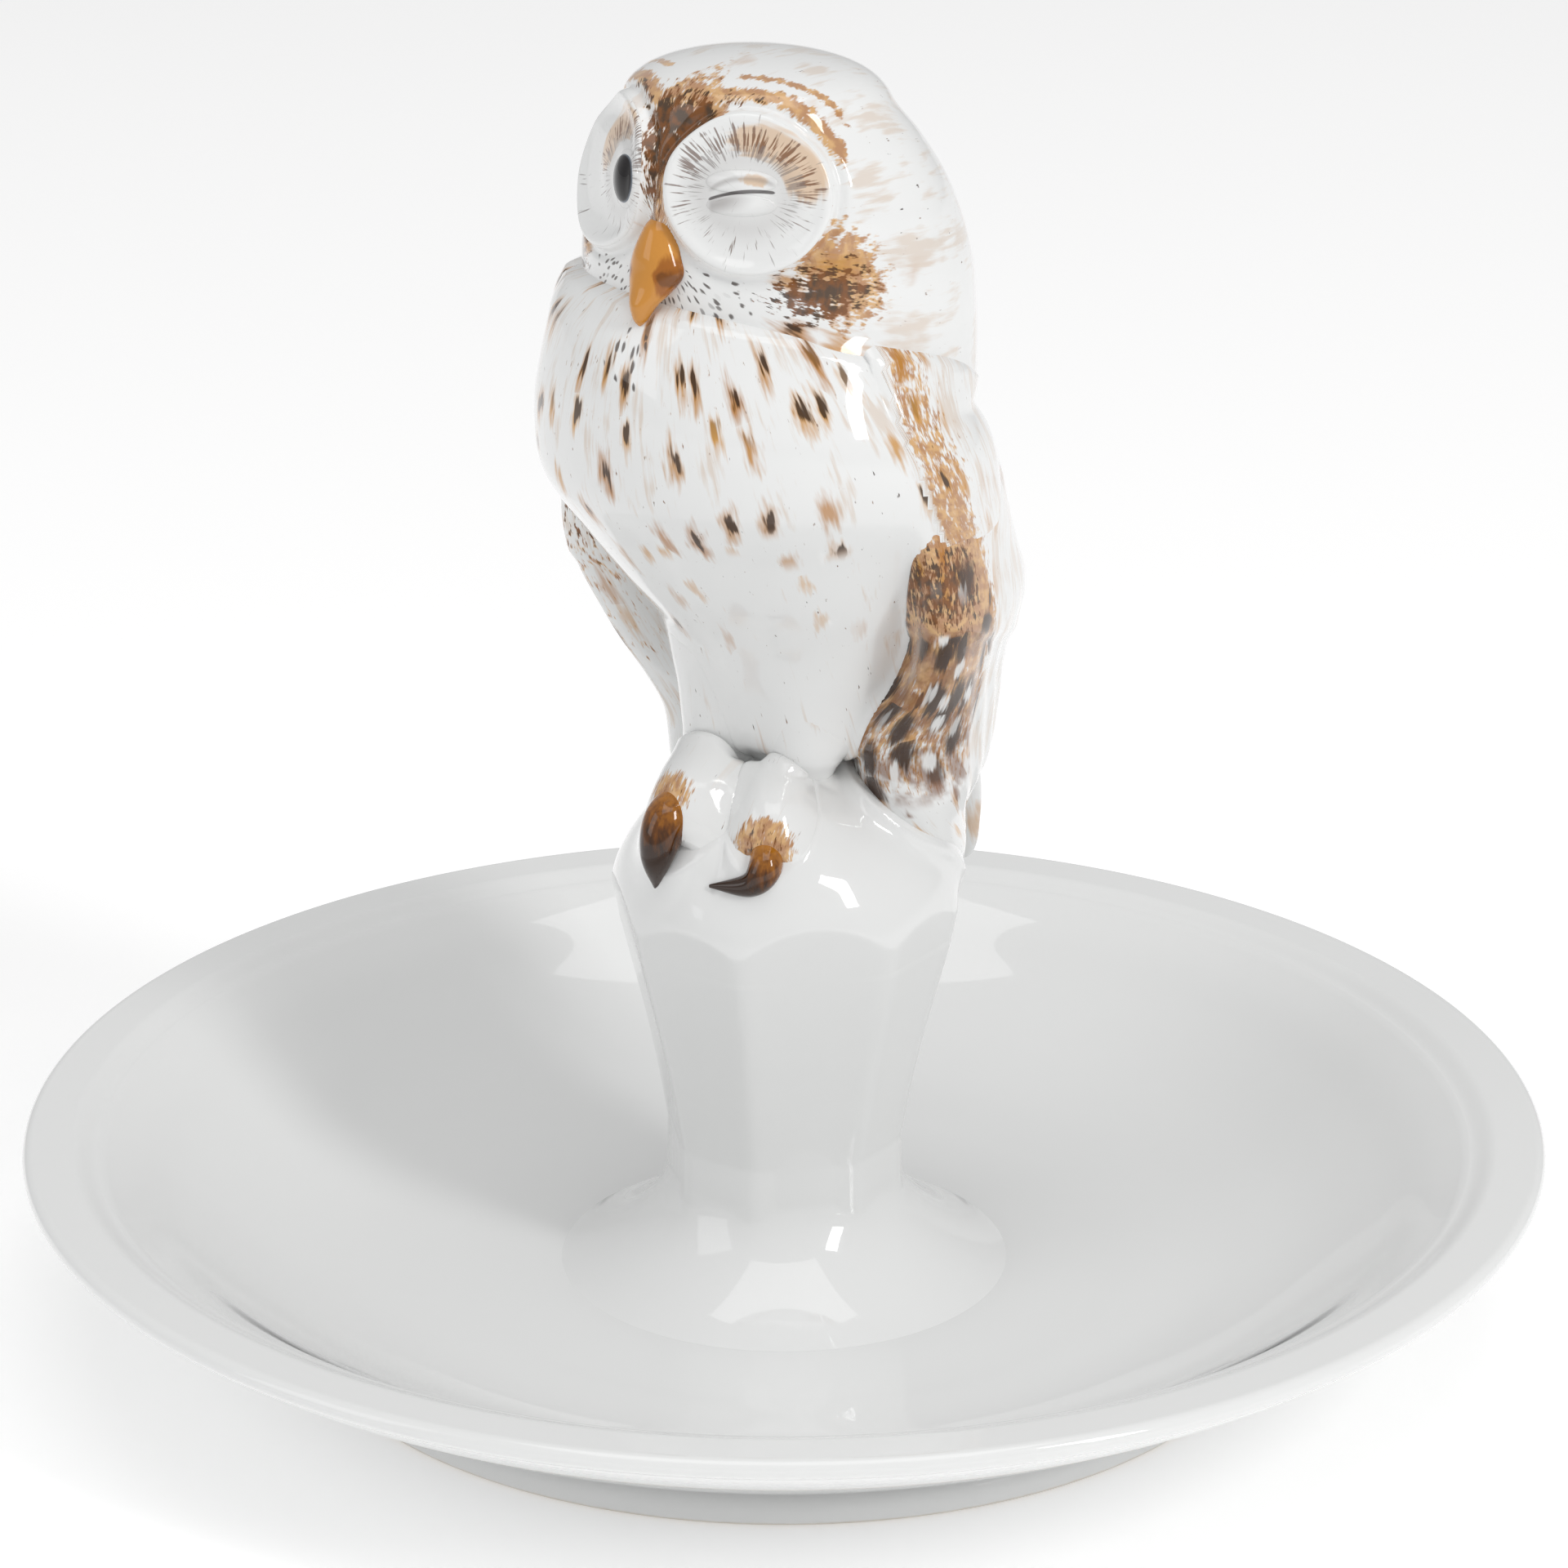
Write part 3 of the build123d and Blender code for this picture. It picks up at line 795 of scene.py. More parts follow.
@dataclass
class FootedDish:
    """The dish and its foot ring, both turned round the upright axis."""

    radius: float
    height: float
    foot_radius: float
    foot_height: float
    lip: float = 1.5
    rim_width: float = 12.0
    step: float = 2.0
    floor: float = 7.4
    wall: float = 3.6
    foot_width: float = 6.0
    vent: float = 3.0
    around: int = 288

    def well(self, radius: Array) -> Array:
        """The height of the dish's upper surface at a radius, inside the step."""
        inside = self.radius - self.rim_width
        low = self.height - self.step
        keys = np.array([0.28, 0.5, 0.66, 0.78, 0.88, 0.95, 1.0]) * inside
        shares = np.array([0.0, 0.035, 0.13, 0.32, 0.6, 0.85, 1.0])
        return self.floor + (low - self.floor) * through(radius, keys, shares)

    def outline(self) -> Array:
        """The dish's section as radius and height, from the vent up over the rim and back below."""
        inside = self.radius - self.rim_width
        floor = np.linspace(self.vent, inside, 90)
        upper = np.stack([floor, self.well(floor)], axis=1)
        ledge = np.linspace(0, 1, 26)[1:]
        low = self.height - self.step
        rise = ease(ledge, 0.0, 0.42) * 0.72 + 0.28 * ledge
        rim = np.stack([inside + ledge * (self.rim_width - self.lip), low + self.step * rise], axis=1)
        turn = np.linspace(np.pi / 2, -np.pi / 2, 18)[1:]
        middle = np.array([self.radius - self.lip, self.height - self.lip])
        edge = middle + self.lip * np.stack([np.cos(turn), np.sin(turn)], axis=1)
        down = np.linspace(0, 1, 50)[1:]
        under_radius = edge[-1, 0] + (self.foot_radius - edge[-1, 0]) * down
        under_height = edge[-1, 1] + (self.foot_height - edge[-1, 1]) * (down**0.86 * 0.96 + 0.04 * down)
        belly = np.stack([under_radius, under_height], axis=1)
        inner = self.foot_radius - self.foot_width
        back = np.linspace(inner, self.vent, 30)
        drop = (back / inner) ** 3 * (self.foot_height - self.floor + self.wall)
        below = np.stack([back, self.floor - self.wall + drop], axis=1)
        return np.concatenate([upper, rim, edge, belly, below])

    def turned(self, outline: Array) -> Skin:
        """Turns a closed section into a ring-shaped skin."""
        angle = np.linspace(0, 2 * np.pi, self.around, endpoint=False)
        count = len(outline)
        x = outline[:, :1] * np.cos(angle)
        y = outline[:, :1] * np.sin(angle)
        z = np.repeat(outline[:, 1:], self.around, axis=1)
        points = np.stack([x, y, z], axis=-1).reshape(-1, 3)
        index = np.arange(count * self.around).reshape(count, self.around)
        ahead, beside = np.roll(index, -1, axis=0), np.roll(index, -1, axis=1)
        corner = np.roll(ahead, -1, axis=1)
        return Skin(points, [np.stack([index, beside, corner, ahead], axis=-1).reshape(-1, 4)])

    def foot_outline(self) -> Array:
        """The foot ring's section, with its lower edges rounded."""
        half = self.foot_width / 2
        middle = self.foot_radius - half
        angle = np.linspace(0, -np.pi, 40)
        bulge = 0.45
        x = middle + half * np.sign(np.cos(angle)) * np.abs(np.cos(angle)) ** bulge
        z = 1.6 + 1.6 * np.sign(np.sin(angle)) * np.abs(np.sin(angle)) ** bulge
        top = np.array([[middle - half, self.foot_height], [middle + half, self.foot_height]])
        return np.concatenate([np.stack([x, z], axis=1), top])[::-1]

    def build(self, white: bpy.types.Material, foot: bpy.types.Material) -> None:
        """Makes the dish and the ring."""
        make_piece("dish_body", self.turned(self.outline()[::-1]), white, ["dish"])
        make_piece("dish_foot_ring", self.turned(self.foot_outline()), foot, ["foot_ring"])


@dataclass
class FacetedColumn:
    """The column: eight facets with softened arrises under a dome, on a wide round flare."""

    top: float
    foot: float
    flare_radius: float
    dome_radius: float = 28.5
    neck_radius: float = 19.3
    neck_height: float = 30.0
    shoulder_radius: float = 28.3
    shoulder_height: float = 68.0
    narrow_facet: float = 39.2
    arris: float = 1.1
    flare_height: float = 17.0
    flare_power: float = 1.5

    @property
    def centre(self) -> float:
        """The height of the dome's centre."""
        return self.top - self.dome_radius

    def facets(self) -> list:
        """Each facet's direction and half angle in radians."""
        narrow, wide = math.radians(self.narrow_facet / 2), math.radians(45 - self.narrow_facet / 2)
        turns = [math.radians(45 * step) for step in range(8)]
        return [(turn, narrow if step % 2 == 0 else wide) for step, turn in enumerate(turns)]

    def side_radius(self, angle: Array, z: Array) -> Array:
        """The radius of the facets and the flare at an angle and a height."""
        slope = (self.shoulder_radius - self.neck_radius) / (self.shoulder_height - self.neck_height)
        above = np.maximum(z - self.neck_height, 0)
        waist = 2.2 * hump(z, self.neck_height + 16.0, 14.0) * slope
        corner = self.neck_radius + slope * above - waist
        total = np.zeros_like(z)
        for turn, half in self.facets():
            flat = corner * math.cos(half) / np.maximum(np.cos(angle - turn), 0.2)
            total += np.exp(-flat / self.arris * 2.0)
        radius = -np.log(total) * self.arris / 2.0
        share = np.clip((z - self.foot) / self.flare_height, 0, 1)
        curve = 1 - (1 - (1 - share) ** self.flare_power) ** (1 / self.flare_power)
        flare = self.neck_radius * 0.93 + (self.flare_radius - self.neck_radius * 0.93) * curve
        blend = 1.2
        top = np.maximum(radius, flare)
        return top + blend * np.log(np.exp((radius - top) / blend) + np.exp((flare - top) / blend)) * 0.6

    def distance(self, points: Array) -> Array:
        """About how far points lie outside the column."""
        angle = np.arctan2(points[:, 1], points[:, 0])
        side = np.hypot(points[:, 0], points[:, 1]) - self.side_radius(angle, points[:, 2])
        dome = np.linalg.norm(points - np.array([0, 0, self.centre]), axis=1) - self.dome_radius
        return np.where(points[:, 2] > self.centre, np.maximum(side, dome), side)

    def skin(self, around: int = 320) -> Skin:
        """The column's surface from the flare's rim to the top of the dome."""
        angle = np.linspace(0, 2 * np.pi, around, endpoint=False)
        low = self.foot + (self.centre - self.foot) * np.linspace(0, 1, 130) ** 1.25
        rings = []
        for height in low:
            radius = self.side_radius(angle, np.full(around, height))
            rings.append(level_ring(radius, angle, np.full(around, height)))
        for tilt in np.linspace(0, np.pi / 2, 92)[1:-1]:
            reach = np.full(around, self.dome_radius)
            for _ in range(8):
                height = self.centre + reach * math.sin(tilt)
                side = self.side_radius(angle, height) / math.cos(tilt)
                sharp = 1.3
                least = np.minimum(side, self.dome_radius)
                near = np.exp(-(side - least) / sharp) + np.exp(-(self.dome_radius - least) / sharp)
                reach = 0.5 * reach + 0.5 * (least - sharp * np.log(near) * 0.35)
            flat = reach * math.cos(tilt)
            rings.append(level_ring(flat, angle, self.centre + reach * math.sin(tilt)))
        ends = np.array([0, 0, self.foot]), np.array([0, 0, self.top])
        return ring_grid(np.array(rings), *ends)

    def build(self, white: bpy.types.Material, above: Sequence[tuple[Field, float]]) -> None:
        """Makes the column, filleted into whatever stands on it."""
        make_piece("faceted_column", filleted(self.skin(), above), white, ["perch_column"])


# ---------------------------------------------------------------- owl: body


def lifted(rows: Sequence[tuple], base: float, turn: float = 0.0) -> tuple:
    """Rows of ovals given above the perch, set at their real height; a row with no turn gets this one."""
    return tuple((row[0] + base, *row[1:5], row[5] if len(row) > 5 else turn) for row in rows)


def polar_lie(points: Array, centre: Array, pole: Array, wide: float, long: float) -> Array:
    """The lie of the feathers as they spread from a pole over a rounded body.

    Args:
        points: places on the body.
        centre: the middle of the body.
        pole: the direction from which the feathers spread.
        wide: millimetres of width for each radian round the pole.
        long: millimetres of length for each radian away from the pole.

    Returns:
        Width, length and zero for each point.
    """
    pole = unit(pole)
    aside = np.array([0.0, 0.0, 1.0]) if abs(pole[2]) < 0.95 else np.array([1.0, 0.0, 0.0])
    side = unit(np.cross(pole, aside))
    over = np.cross(side, pole)
    away = unit(points - centre)
    width = np.arctan2(away @ side, -(away @ over)) * wide
    length = np.arccos(np.clip(away @ pole, -1, 1)) * long
    return np.stack([width, length, np.zeros(len(points))], axis=1)


@dataclass
class OwlBody:
    """Torso, wings, tail and legs, each its own closed piece, filleted into its neighbours."""

    perch: float
    column: FacetedColumn
    head: Field
    fold: float = 5.5
    soft: float = 3.0
    neck: float = 11.0
    seat: float = 6.0
    crisp: float = 1.5
    shoulder_line: tuple = (
        (24.0, -4.0), (31.5, -6.0), (40.5, -7.8), (49.0, -12.7), (58.5, -16.4), (71.3, -16.1), (85.0, -14.0)
    )
    torso_rows: tuple = (
        (0.5, 0.4, 2.5, 11.0, 10.5), (4.5, 0.6, 3.0, 13.8, 13.0), (13.5, 1.2, 3.0, 18.2, 16.5),
        (22.5, 1.5, 2.8, 22.2, 20.4), (31.5, 0.8, 1.2, 27.8, 25.6), (39.5, 0, -0.8, 32.0, 29.4),
        (47.5, 0, -4.5, 35.4, 31.4), (55.5, 0, -6.5, 35.4, 31.0), (62.0, -0.5, -9.0, 33.1, 28.5),
        (68.5, -2.0, -9.3, 29.4, 26.6), (74.5, -4.2, -9.0, 24.8, 23.6), (79.5, -5.5, -8.0, 19.6, 19.6),
    )
    wing_rows: tuple = (
        (-24.5, 17.0, 21.0, 2.0, 3.5, 38), (-21.0, 16.5, 20.5, 3.4, 6.5, 36),
        (-16.5, 16.4, 20.0, 4.4, 9.5, 33), (-12.5, 16.2, 18.4, 5.2, 13.0, 30),
        (-8.5, 15.4, 17.6, 7.0, 16.5, 25), (-5.5, 15.0, 17.4, 8.8, 18.2, 21),
        (-2.0, 14.6, 17.4, 10.2, 19.2, 18), (3.5, 15.0, 16.8, 10.8, 19.6, 16),
        (9.5, 17.8, 15.4, 9.6, 20.0, 16), (14.5, 21.4, 14.0, 7.4, 20.0, 16),
        (20.5, 24.6, 12.6, 6.4, 20.2, 16), (27.5, 27.1, 10.6, 6.3, 20.4, 16),
        (34.0, 28.3, 7.4, 5.7, 18.6, 16), (39.5, 28.8, 5.0, 5.0, 16.5, 16),
        (45.5, 27.8, 3.5, 4.8, 15.0, 16), (51.5, 25.6, 2.5, 5.0, 13.5, 16),
        (57.5, 22.3, 2.0, 4.6, 10.0, 16), (62.5, 19.3, 2.0, 3.0, 5.5, 16),
    )
    tail_rows: tuple = (
        (-28.5, 0, 35.0, 10.0, 2.0), (-24.5, 0, 34.3, 13.2, 2.8), (-17.5, 0, 33.2, 15.2, 3.8),
        (-6.5, 0, 31.0, 16.0, 5.0), (7.5, 0, 26.5, 15.5, 6.0), (19.5, 0, 22.0, 15.0, 6.0),
    )
    leg_rows: tuple = (
        (-1.0, 7.8, -5.4, 3.4, 4.0), (2.5, 7.6, -4.9, 5.4, 6.4), (7.5, 7.4, -4.2, 6.2, 7.8),
        (13.5, 7.2, -3.0, 7.2, 10.0), (22.5, 7.5, -1.0, 8.5, 13.0), (29.5, 8.0, 0.5, 8.0, 12.0),
    )

    def __post_init__(self) -> None:
        """Sets up every part's smooth form."""
        self.torso = OvalBody(lifted(self.torso_rows, self.perch), low_cap=4, high_cap=7)
        self.tail = OvalBody(lifted(self.tail_rows, self.perch), low_cap=4, high_cap=5)
        wing_form = lifted(self.wing_rows, self.perch)
        self.wings = {side: OvalBody(wing_form, low_cap=4, high_cap=5, side=side) for side in Side}
        self.legs = {side: OvalBody(self.leg_form(side), low_cap=3, side=side) for side in Side}

    def leg_form(self, side: Side) -> tuple:
        """A leg's rows: the right one reaches lower and further forward than the left."""
        drop, ahead = (0.9, -1.4) if side is Side.LEFT else (-1.6, 0.8)
        moved = [(row[0] + drop, row[1], row[2] - ahead, *row[3:]) for row in self.leg_rows]
        return lifted(moved, self.perch)

    def shoulder(self, points: Array) -> Array:
        """How far back points of the torso lie from the line where the shoulder feathers start."""
        height = points[:, 2] - self.perch
        line = through(height, *(np.array(self.shoulder_line).T))
        return np.where(np.abs(points[:, 0]) > 14, points[:, 1] - line, -40.0)

    def wing_marks(self, across: Array, height: Array, left: Array) -> dict:
        """Painting values of wing feathers.

        Args:
            across: millimetres back from the front edge.
            height: millimetres above the perch.
            left: 1 on the owl's left, less where the painter used less colour.

        Returns:
            Values for the plumage finish.
        """
        heights = np.array([-14.0, 0, 14, 24, 34, 42, 56, 70])
        reach = through(height, heights, np.array([12.0, 15.5, 14, 9.5, 7.5, 6.5, 7, 6]))
        band = ease(across, reach + 3.0, reach - 2.0) * left
        low = ease(height, -9, 0)
        spots = ease(height, 31, 24) * low
        rust = hump(height, 35.5, 7.5) * ease(across, 7.0, 2.0)
        warm = ease(across, 22, 9) * ease(height, 18, 30)
        return {
            "lie": np.stack([across, -height - 0.2 * across, np.zeros(len(across))], axis=1),
            "dabs": 0.35 + 0.5 * band + 0.3 * warm * left,
            "depth": 0.05 + 0.3 * band + 0.3 * (1 - left) * ease(height, 40, 20),
            "warmth": 0.28 + 0.5 * band + 0.25 * warm,
            "wash": 0.72 - 0.25 * band,
            "ochre": band * low * (0.26 + 0.44 * hump(height, 22, 24)) + 0.26 * warm * left,
            "dark": 0.7 * rust * left,
            "blots": band * ease(left, 0.5, 1.0) * (0.96 * spots + 0.45 * hump(height, 36, 10)),
        }

    def torso_paint(self, points: Array) -> dict:
        """Painting values of the breast, belly, shoulders and back."""
        centre = np.array([0.0, -3.0, self.perch + 48.0])
        lie = polar_lie(points, centre, np.array([-0.05, -0.36, 0.93]), 24.0, 34.0)
        length = lie[:, 1] - 6.0
        height = points[:, 2] - self.perch
        front = np.arctan2(points[:, 0], -(points[:, 1] - 2.0))
        throat = np.linalg.norm(points - np.array([-3.0, -34.0, self.perch + 71.0]), axis=1)
        flank = ease(np.abs(front), 0.9, 1.35)
        back = ease(np.abs(front), 1.9, 2.5)
        breast = {
            "dabs": 0.26 + 0.74 * ease(length, 58, 22) + 0.2 * flank - 0.1 * ease(height, 30, 5),
            "depth": 0.95 * ease(length, 52, 20) + 0.12,
            "warmth": (0.42 + 0.55 * ease(length, 66, 24)) * (1 - 0.4 * back),
            "wash": 0.2 + 0.4 * flank + 0.35 * back + 0.35 * ease(length, 48, 25),
            "ochre": 0.22 * ease(throat, 36, 12) + 0.08 * flank,
            "specks": 0.9 * ease(throat, 6, 3),
        }
        behind = self.shoulder(points)
        left = np.where(points[:, 0] > 0, 1.0, 0.45)
        marks = self.wing_marks(behind, height, left)
        over = ease(behind, -0.7, 0.3) * ease(height, 28, 34)
        paint = {name: (1 - over) * value + over * marks.get(name, 0.0) for name, value in breast.items()}
        paint["lie"] = np.where((behind > -0.2)[:, None] & (height > 30)[:, None], marks["lie"], lie)
        paint["dark"], paint["blots"] = over * marks["dark"], over * marks["blots"]
        return paint

    def wing_paint(self, body: OvalBody, points: Array) -> dict:
        """Painting values of a wing: a dark band down its front edge, pale streaks behind."""
        place, width, depth = body.local(points)
        aside = np.abs(place[:, 0]) / np.maximum(width, 0.1)
        angle = np.arctan2(aside, -place[:, 1] / np.maximum(depth, 0.1))
        across = np.hypot(width * angle, depth * (1 - np.cos(angle)))
        outer = np.where(place[:, 0] * body.side.value > 0, 1.0, -1.0)
        left = np.full(len(points), 1.0 if body.side is Side.LEFT else 0.45)
        height = points[:, 2] - self.perch
        under = through(height, np.array([-10.0, 8, 18, 28, 42]), np.array([0.0, 1.5, 3.5, 5.5, 5.0]))
        marks = self.wing_marks(across - under, height, left)
        marks["lie"][:, 0] = across * outer
        return marks

    def plain_paint(self, points: Array, dabs: float, wash: float) -> dict:
        """Painting values of the legs and tail: pale streaks and a few dabs."""
        count = len(points)
        lie = np.stack([points[:, 0] * 1.1, -points[:, 2], np.zeros(count)], axis=1)
        low = ease(points[:, 2] - self.perch, 6, -4)
        return {
            "lie": lie,
            "dabs": np.full(count, dabs),
            "depth": np.full(count, 0.1),
            "warmth": np.full(count, 0.45),
            "wash": wash + 0.2 * low,
            "ochre": np.full(count, 0.1),
        }

    def shoulder_step(self, points: Array) -> Array:
        """The low step where the shoulder feathers lie over the breast."""
        behind = self.shoulder(points)
        height = points[:, 2] - self.perch
        step = 0.9 * ease(behind, -0.8, 1.0) * ease(behind, 34, 8)
        return step * ease(height, 30, 38) * ease(height, 84, 70)

    def wing_relief(self, body: OvalBody, points: Array) -> Array:
        """Low ridges of the long feathers, and the ledges where one row of them ends."""
        height = points[:, 2] - self.perch
        place, _, depth = body.local(points)
        behind = place[:, 1] + depth
        ridges = 0.16 * np.cos(behind * 1.15 + 0.1 * height) * ease(height, 34, 12) * ease(behind, 8, 14)
        slant = height + 0.35 * behind
        ledge = 0.7 * ease(slant, 27.0, 30.0) + 0.5 * ease(slant, 44.0, 50.0)
        return ridges + ledge - 0.5

    def build(self, material: bpy.types.Material) -> None:
        """Makes every piece of the body."""
        wings, legs = self.wings, self.legs
        torso = self.torso.skin(190, 300)
        torso = torso.raised(self.shoulder_step(torso.points))
        torso = filleted(
            torso,
            [(self.head, self.neck), (self.column.distance, self.seat)]
            + [(wings[side].distance, self.fold) for side in Side]
            + [(legs[side].distance, self.soft) for side in Side]
            + [(self.tail.distance, self.soft)],
        )
        torso.paint = self.torso_paint(torso.points)
        make_piece("torso_breast", torso, material, ["owl_torso"])
        for side in Side:
            other = Side.LEFT if side is Side.RIGHT else Side.RIGHT
            wing = wings[side].skin(150, 220)
            wing = wing.raised(self.wing_relief(wings[side], wing.points))
            wing = filleted(
                wing,
                [
                    (self.torso.distance, self.fold),
                    (self.column.distance, self.soft),
                    (self.tail.distance, self.crisp),
                    (wings[other].distance, self.crisp),
                ],
            )
            wing.paint = self.wing_paint(wings[side], wing.points)
            make_piece(f"{side.word}_folded_wing", wing, material, [f"{side.word}_wing"])
            leg = filleted(
                legs[side].skin(80, 120),
                [
                    (self.torso.distance, self.soft),
                    (self.column.distance, self.seat),
                    (legs[other].distance, self.soft),
                ],
            )
            leg.paint = self.plain_paint(leg.points, 0.2, 0.3)
            make_piece(f"{side.word}_feathered_leg", leg, material, [f"{side.word}_leg"])
        tail = filleted(
            self.tail.skin(110, 200),
            [(self.torso.distance, self.soft), (self.column.distance, self.crisp)]
            + [(wings[side].distance, self.crisp) for side in Side],
        )
        tail.paint = self.plain_paint(tail.points, 0.3, 0.55)
        make_piece("tail_feathers", tail, material, ["tail"])


# ---------------------------------------------------------------- owl: head


@dataclass
class OwlHead:
    """The head, its two discs, the open eye, the two closed lids and the beak."""

    perch: float
    turn: float = 5.0
    rows: tuple = (
        (57.5, 0, -1.0, 22.0, 21.5), (62.5, 0, 0.0, 27.2, 26.0), (68.5, 0, -0.5, 29.6, 27.8),
        (74.5, 0, -1.2, 30.2, 28.0), (81.0, 0, -2.0, 30.0, 27.7), (87.5, 0, -3.0, 28.8, 26.6),
        (93.5, 0, -4.8, 27.4, 25.2), (99.5, 0, -6.5, 24.6, 22.6), (105.5, 0, -7.2, 20.3, 19.0),
        (112.0, 0, -8.2, 21.0, 20.0),
    )
    beak_rows: tuple = (
        (75.5, 0, -33.2, 0.6, 0.6), (76.7, 0, -33.0, 1.2, 1.2), (78.5, 0, -32.3, 2.1, 2.1),
        (80.7, 0.3, -30.8, 3.5, 2.9), (83.2, 0.5, -29.6, 4.6, 3.5), (86.0, 0.4, -29.2, 4.0, 3.4),
        (88.8, 0.2, -28.7, 2.7, 2.7), (91.5, 0, -28.0, 1.3, 1.6),
    )
    middle_rise: float = 86.5
    middle_back: float = 3.5
    reach: float = 28.0
    disc_spread: float = 31.0
    disc_lift: float = 18.6
    disc_wide: float = 13.5
    disc_tall: float = 12.2
    eye_offset: tuple = (8.0, 0.6)
    lid_offset: tuple = (-0.6, 0.2)
    eye_size: tuple = (4.3, 3.7)
    rim_size: tuple = (5.2, 4.5)
    lid_width: float = 5.4
    neck: float = 11.0

    def __post_init__(self) -> None:
        """Sets up the head's form and the axes of the two discs."""
        self.form = OvalBody(lifted(self.rows, self.perch, -self.turn), low_cap=5, high_cap=7)
        self.middle = np.array([0.0, -self.middle_back, self.perch + self.middle_rise])
        self.axes = {side: self.axis(side.value * self.disc_spread, self.disc_lift) for side in Side}

    def axis(self, spread: float, lift: float) -> Array:
        """A direction out of the face and the level and upright directions across it."""
        around, up = math.radians(spread - self.turn), math.radians(lift)
        out = np.array([math.sin(around) * math.cos(up), -math.cos(around) * math.cos(up), math.sin(up)])
        across = unit(np.cross(np.array([0.0, 0.0, 1.0]), out))
        return np.stack([out, across, np.cross(out, across)])

    def on_disc(self, away: Array, side: Side) -> tuple:
        """A direction from the head's middle as a place on a disc: outward, upward and nearness."""
        out, across, over = self.axes[side]
        facing = np.maximum(away @ out, 0.15)
        x = self.reach * (away @ across) / facing * side.value
        y = self.reach * (away @ over) / facing
        return x, y, ease(away @ out, 0.2, 0.45)

    def relief(self, away: Array) -> Array:
        """How far the face stands out of or sinks into the head's smooth form."""
        total = np.zeros(len(away))
        for side in Side:
            x, y, near = self.on_disc(away, side)
            edge = np.hypot(x / self.disc_wide, y / self.disc_tall)
            angle = np.arctan2(y, x)
            dish = -1.5 * ease(edge, 0.95, 0.25)
            rim = (0.75 + 0.55 * np.cos(angle + 0.9) ** 2) * hump(edge, 0.93, 0.11)
            groove = -0.55 * hump(edge, 1.13, 0.07)
            if side is Side.LEFT:
                lid_x, lid_y = x - self.lid_offset[0], y - self.lid_offset[1]
                inner = 1.5 * np.exp(-((lid_x / 6.6) ** 2 + (lid_y / 4.2) ** 2))
            else:
                eye_x, eye_y = x + self.eye_offset[0], y - self.eye_offset[1]
                inner = 1.1 * np.exp(-((eye_x / 5.2) ** 2 + (eye_y / 5.0) ** 2))
            total += near * (dish + rim + groove + inner)
        return total

    def radius(self, away: Array) -> Array:
        """The distance from the head's middle to its smooth form along each direction."""
        reach = np.full(len(away), self.reach)
        for _ in range(10):
            reach -= 0.85 * self.form.distance(self.middle + away * reach[:, None])
        return reach

    def surface(self, x: Array, y: Array, side: Side, height: Array) -> Array:
        """Places on the face at disc coordinates, raised by a height."""
        out, across, over = self.axes[side]
        away = unit(self.reach * out + (x * side.value)[:, None] * across + y[:, None] * over)
        return self.middle + away * (self.radius(away) + self.relief(away) + height)[:, None]

    def patch(self, side: Side, centre: tuple, radii: tuple, rise: Field, depth: float, fine: int) -> Skin:
        """A closed lens or shield that lies on the face.

        Args:
            side: whose disc the centre is measured on.
            centre: outward and upward place of its middle.
            radii: half width and half height.
            rise: height above the face by share of the way out.
            depth: how far its back lies under the face.
            fine: rings from the middle to the edge.

        Returns:
            The skin, with the painting value "along", the share of the way out.
        """
        around = fine * 5
        angle = np.linspace(0, 2 * np.pi, around, endpoint=False) * side.value
        shares = np.linspace(0, 1, fine + 1)[1:]
        rings, along = [], []
        for share in shares:
            x, y = centre[0] + radii[0] * share * np.cos(angle), centre[1] + radii[1] * share * np.sin(angle)
            rings.append(self.surface(x, y, side, np.full(around, -depth)))
            along.append(np.full(around, share))
        for share in shares[::-1]:
            x, y = centre[0] + radii[0] * share * np.cos(angle), centre[1] + radii[1] * share * np.sin(angle)
            rings.append(self.surface(x, y, side, np.full(around, float(rise(np.array(share))))))
            along.append(np.full(around, share))
        x, y = np.array([float(centre[0])]), np.array([float(centre[1])])
        back = self.surface(x, y, side, np.array([-depth]))[0]
        front = self.surface(x, y, side, np.array([float(rise(np.array(0.0)))]))[0]
        skin = ring_grid(np.array(rings), back, front)
        skin.paint["along"] = np.concatenate(along + [np.zeros(2)])
        return skin

    def head_paint(self, points: Array) -> dict:
        """Painting values of the crown, cheeks, bib and nape."""
        away = unit(points - self.middle)
        height = points[:, 2] - self.perch
        azimuth = np.arctan2(points[:, 0], -points[:, 1]) + math.radians(self.turn)
        azimuth = (azimuth + np.pi) % (2 * np.pi) - np.pi
        sideways = azimuth * 29.0
        pole = self.axis(0, 2)[0]
        lie = polar_lie(points, self.middle, pole, 17.0, 29.0)
        keys = np.array([86.0, 91.5, 94.5, 97.5, 100.0, 103.0, 106.0, 109.0, 111.5])
        wide = through(height, keys, np.array([-0.6, 0.5, 0.7, 1.3, 3.0, 5.4, 6.4, 5.0, 2.0]))
        drift = 2.4 * ease(height, 96, 106)
        stripe = np.clip(0.5 + (wide - np.abs(sideways - drift)) / 3.6, 0, 1)
        border = np.clip(0.5 + (wide + 1.6 - np.abs(sideways - drift - 0.8)) / 4.5, 0, 1)
        dark = 0.92 * stripe * ease(height, 112, 105)
        ochre = 0.75 * border * ease(height, 115, 108) * ease(height, 84, 90)
        warm = np.zeros(len(points))
        for side in Side:
            x, y, near = self.on_disc(away, side)
            angle = np.arctan2(y, x)
            out = np.hypot(x / 1.06, y)
            arc = (1 - np.abs(out - 16.2) / 3.4) * ease(angle, 0.1, 0.6) * ease(angle, 2.5, 2.1)
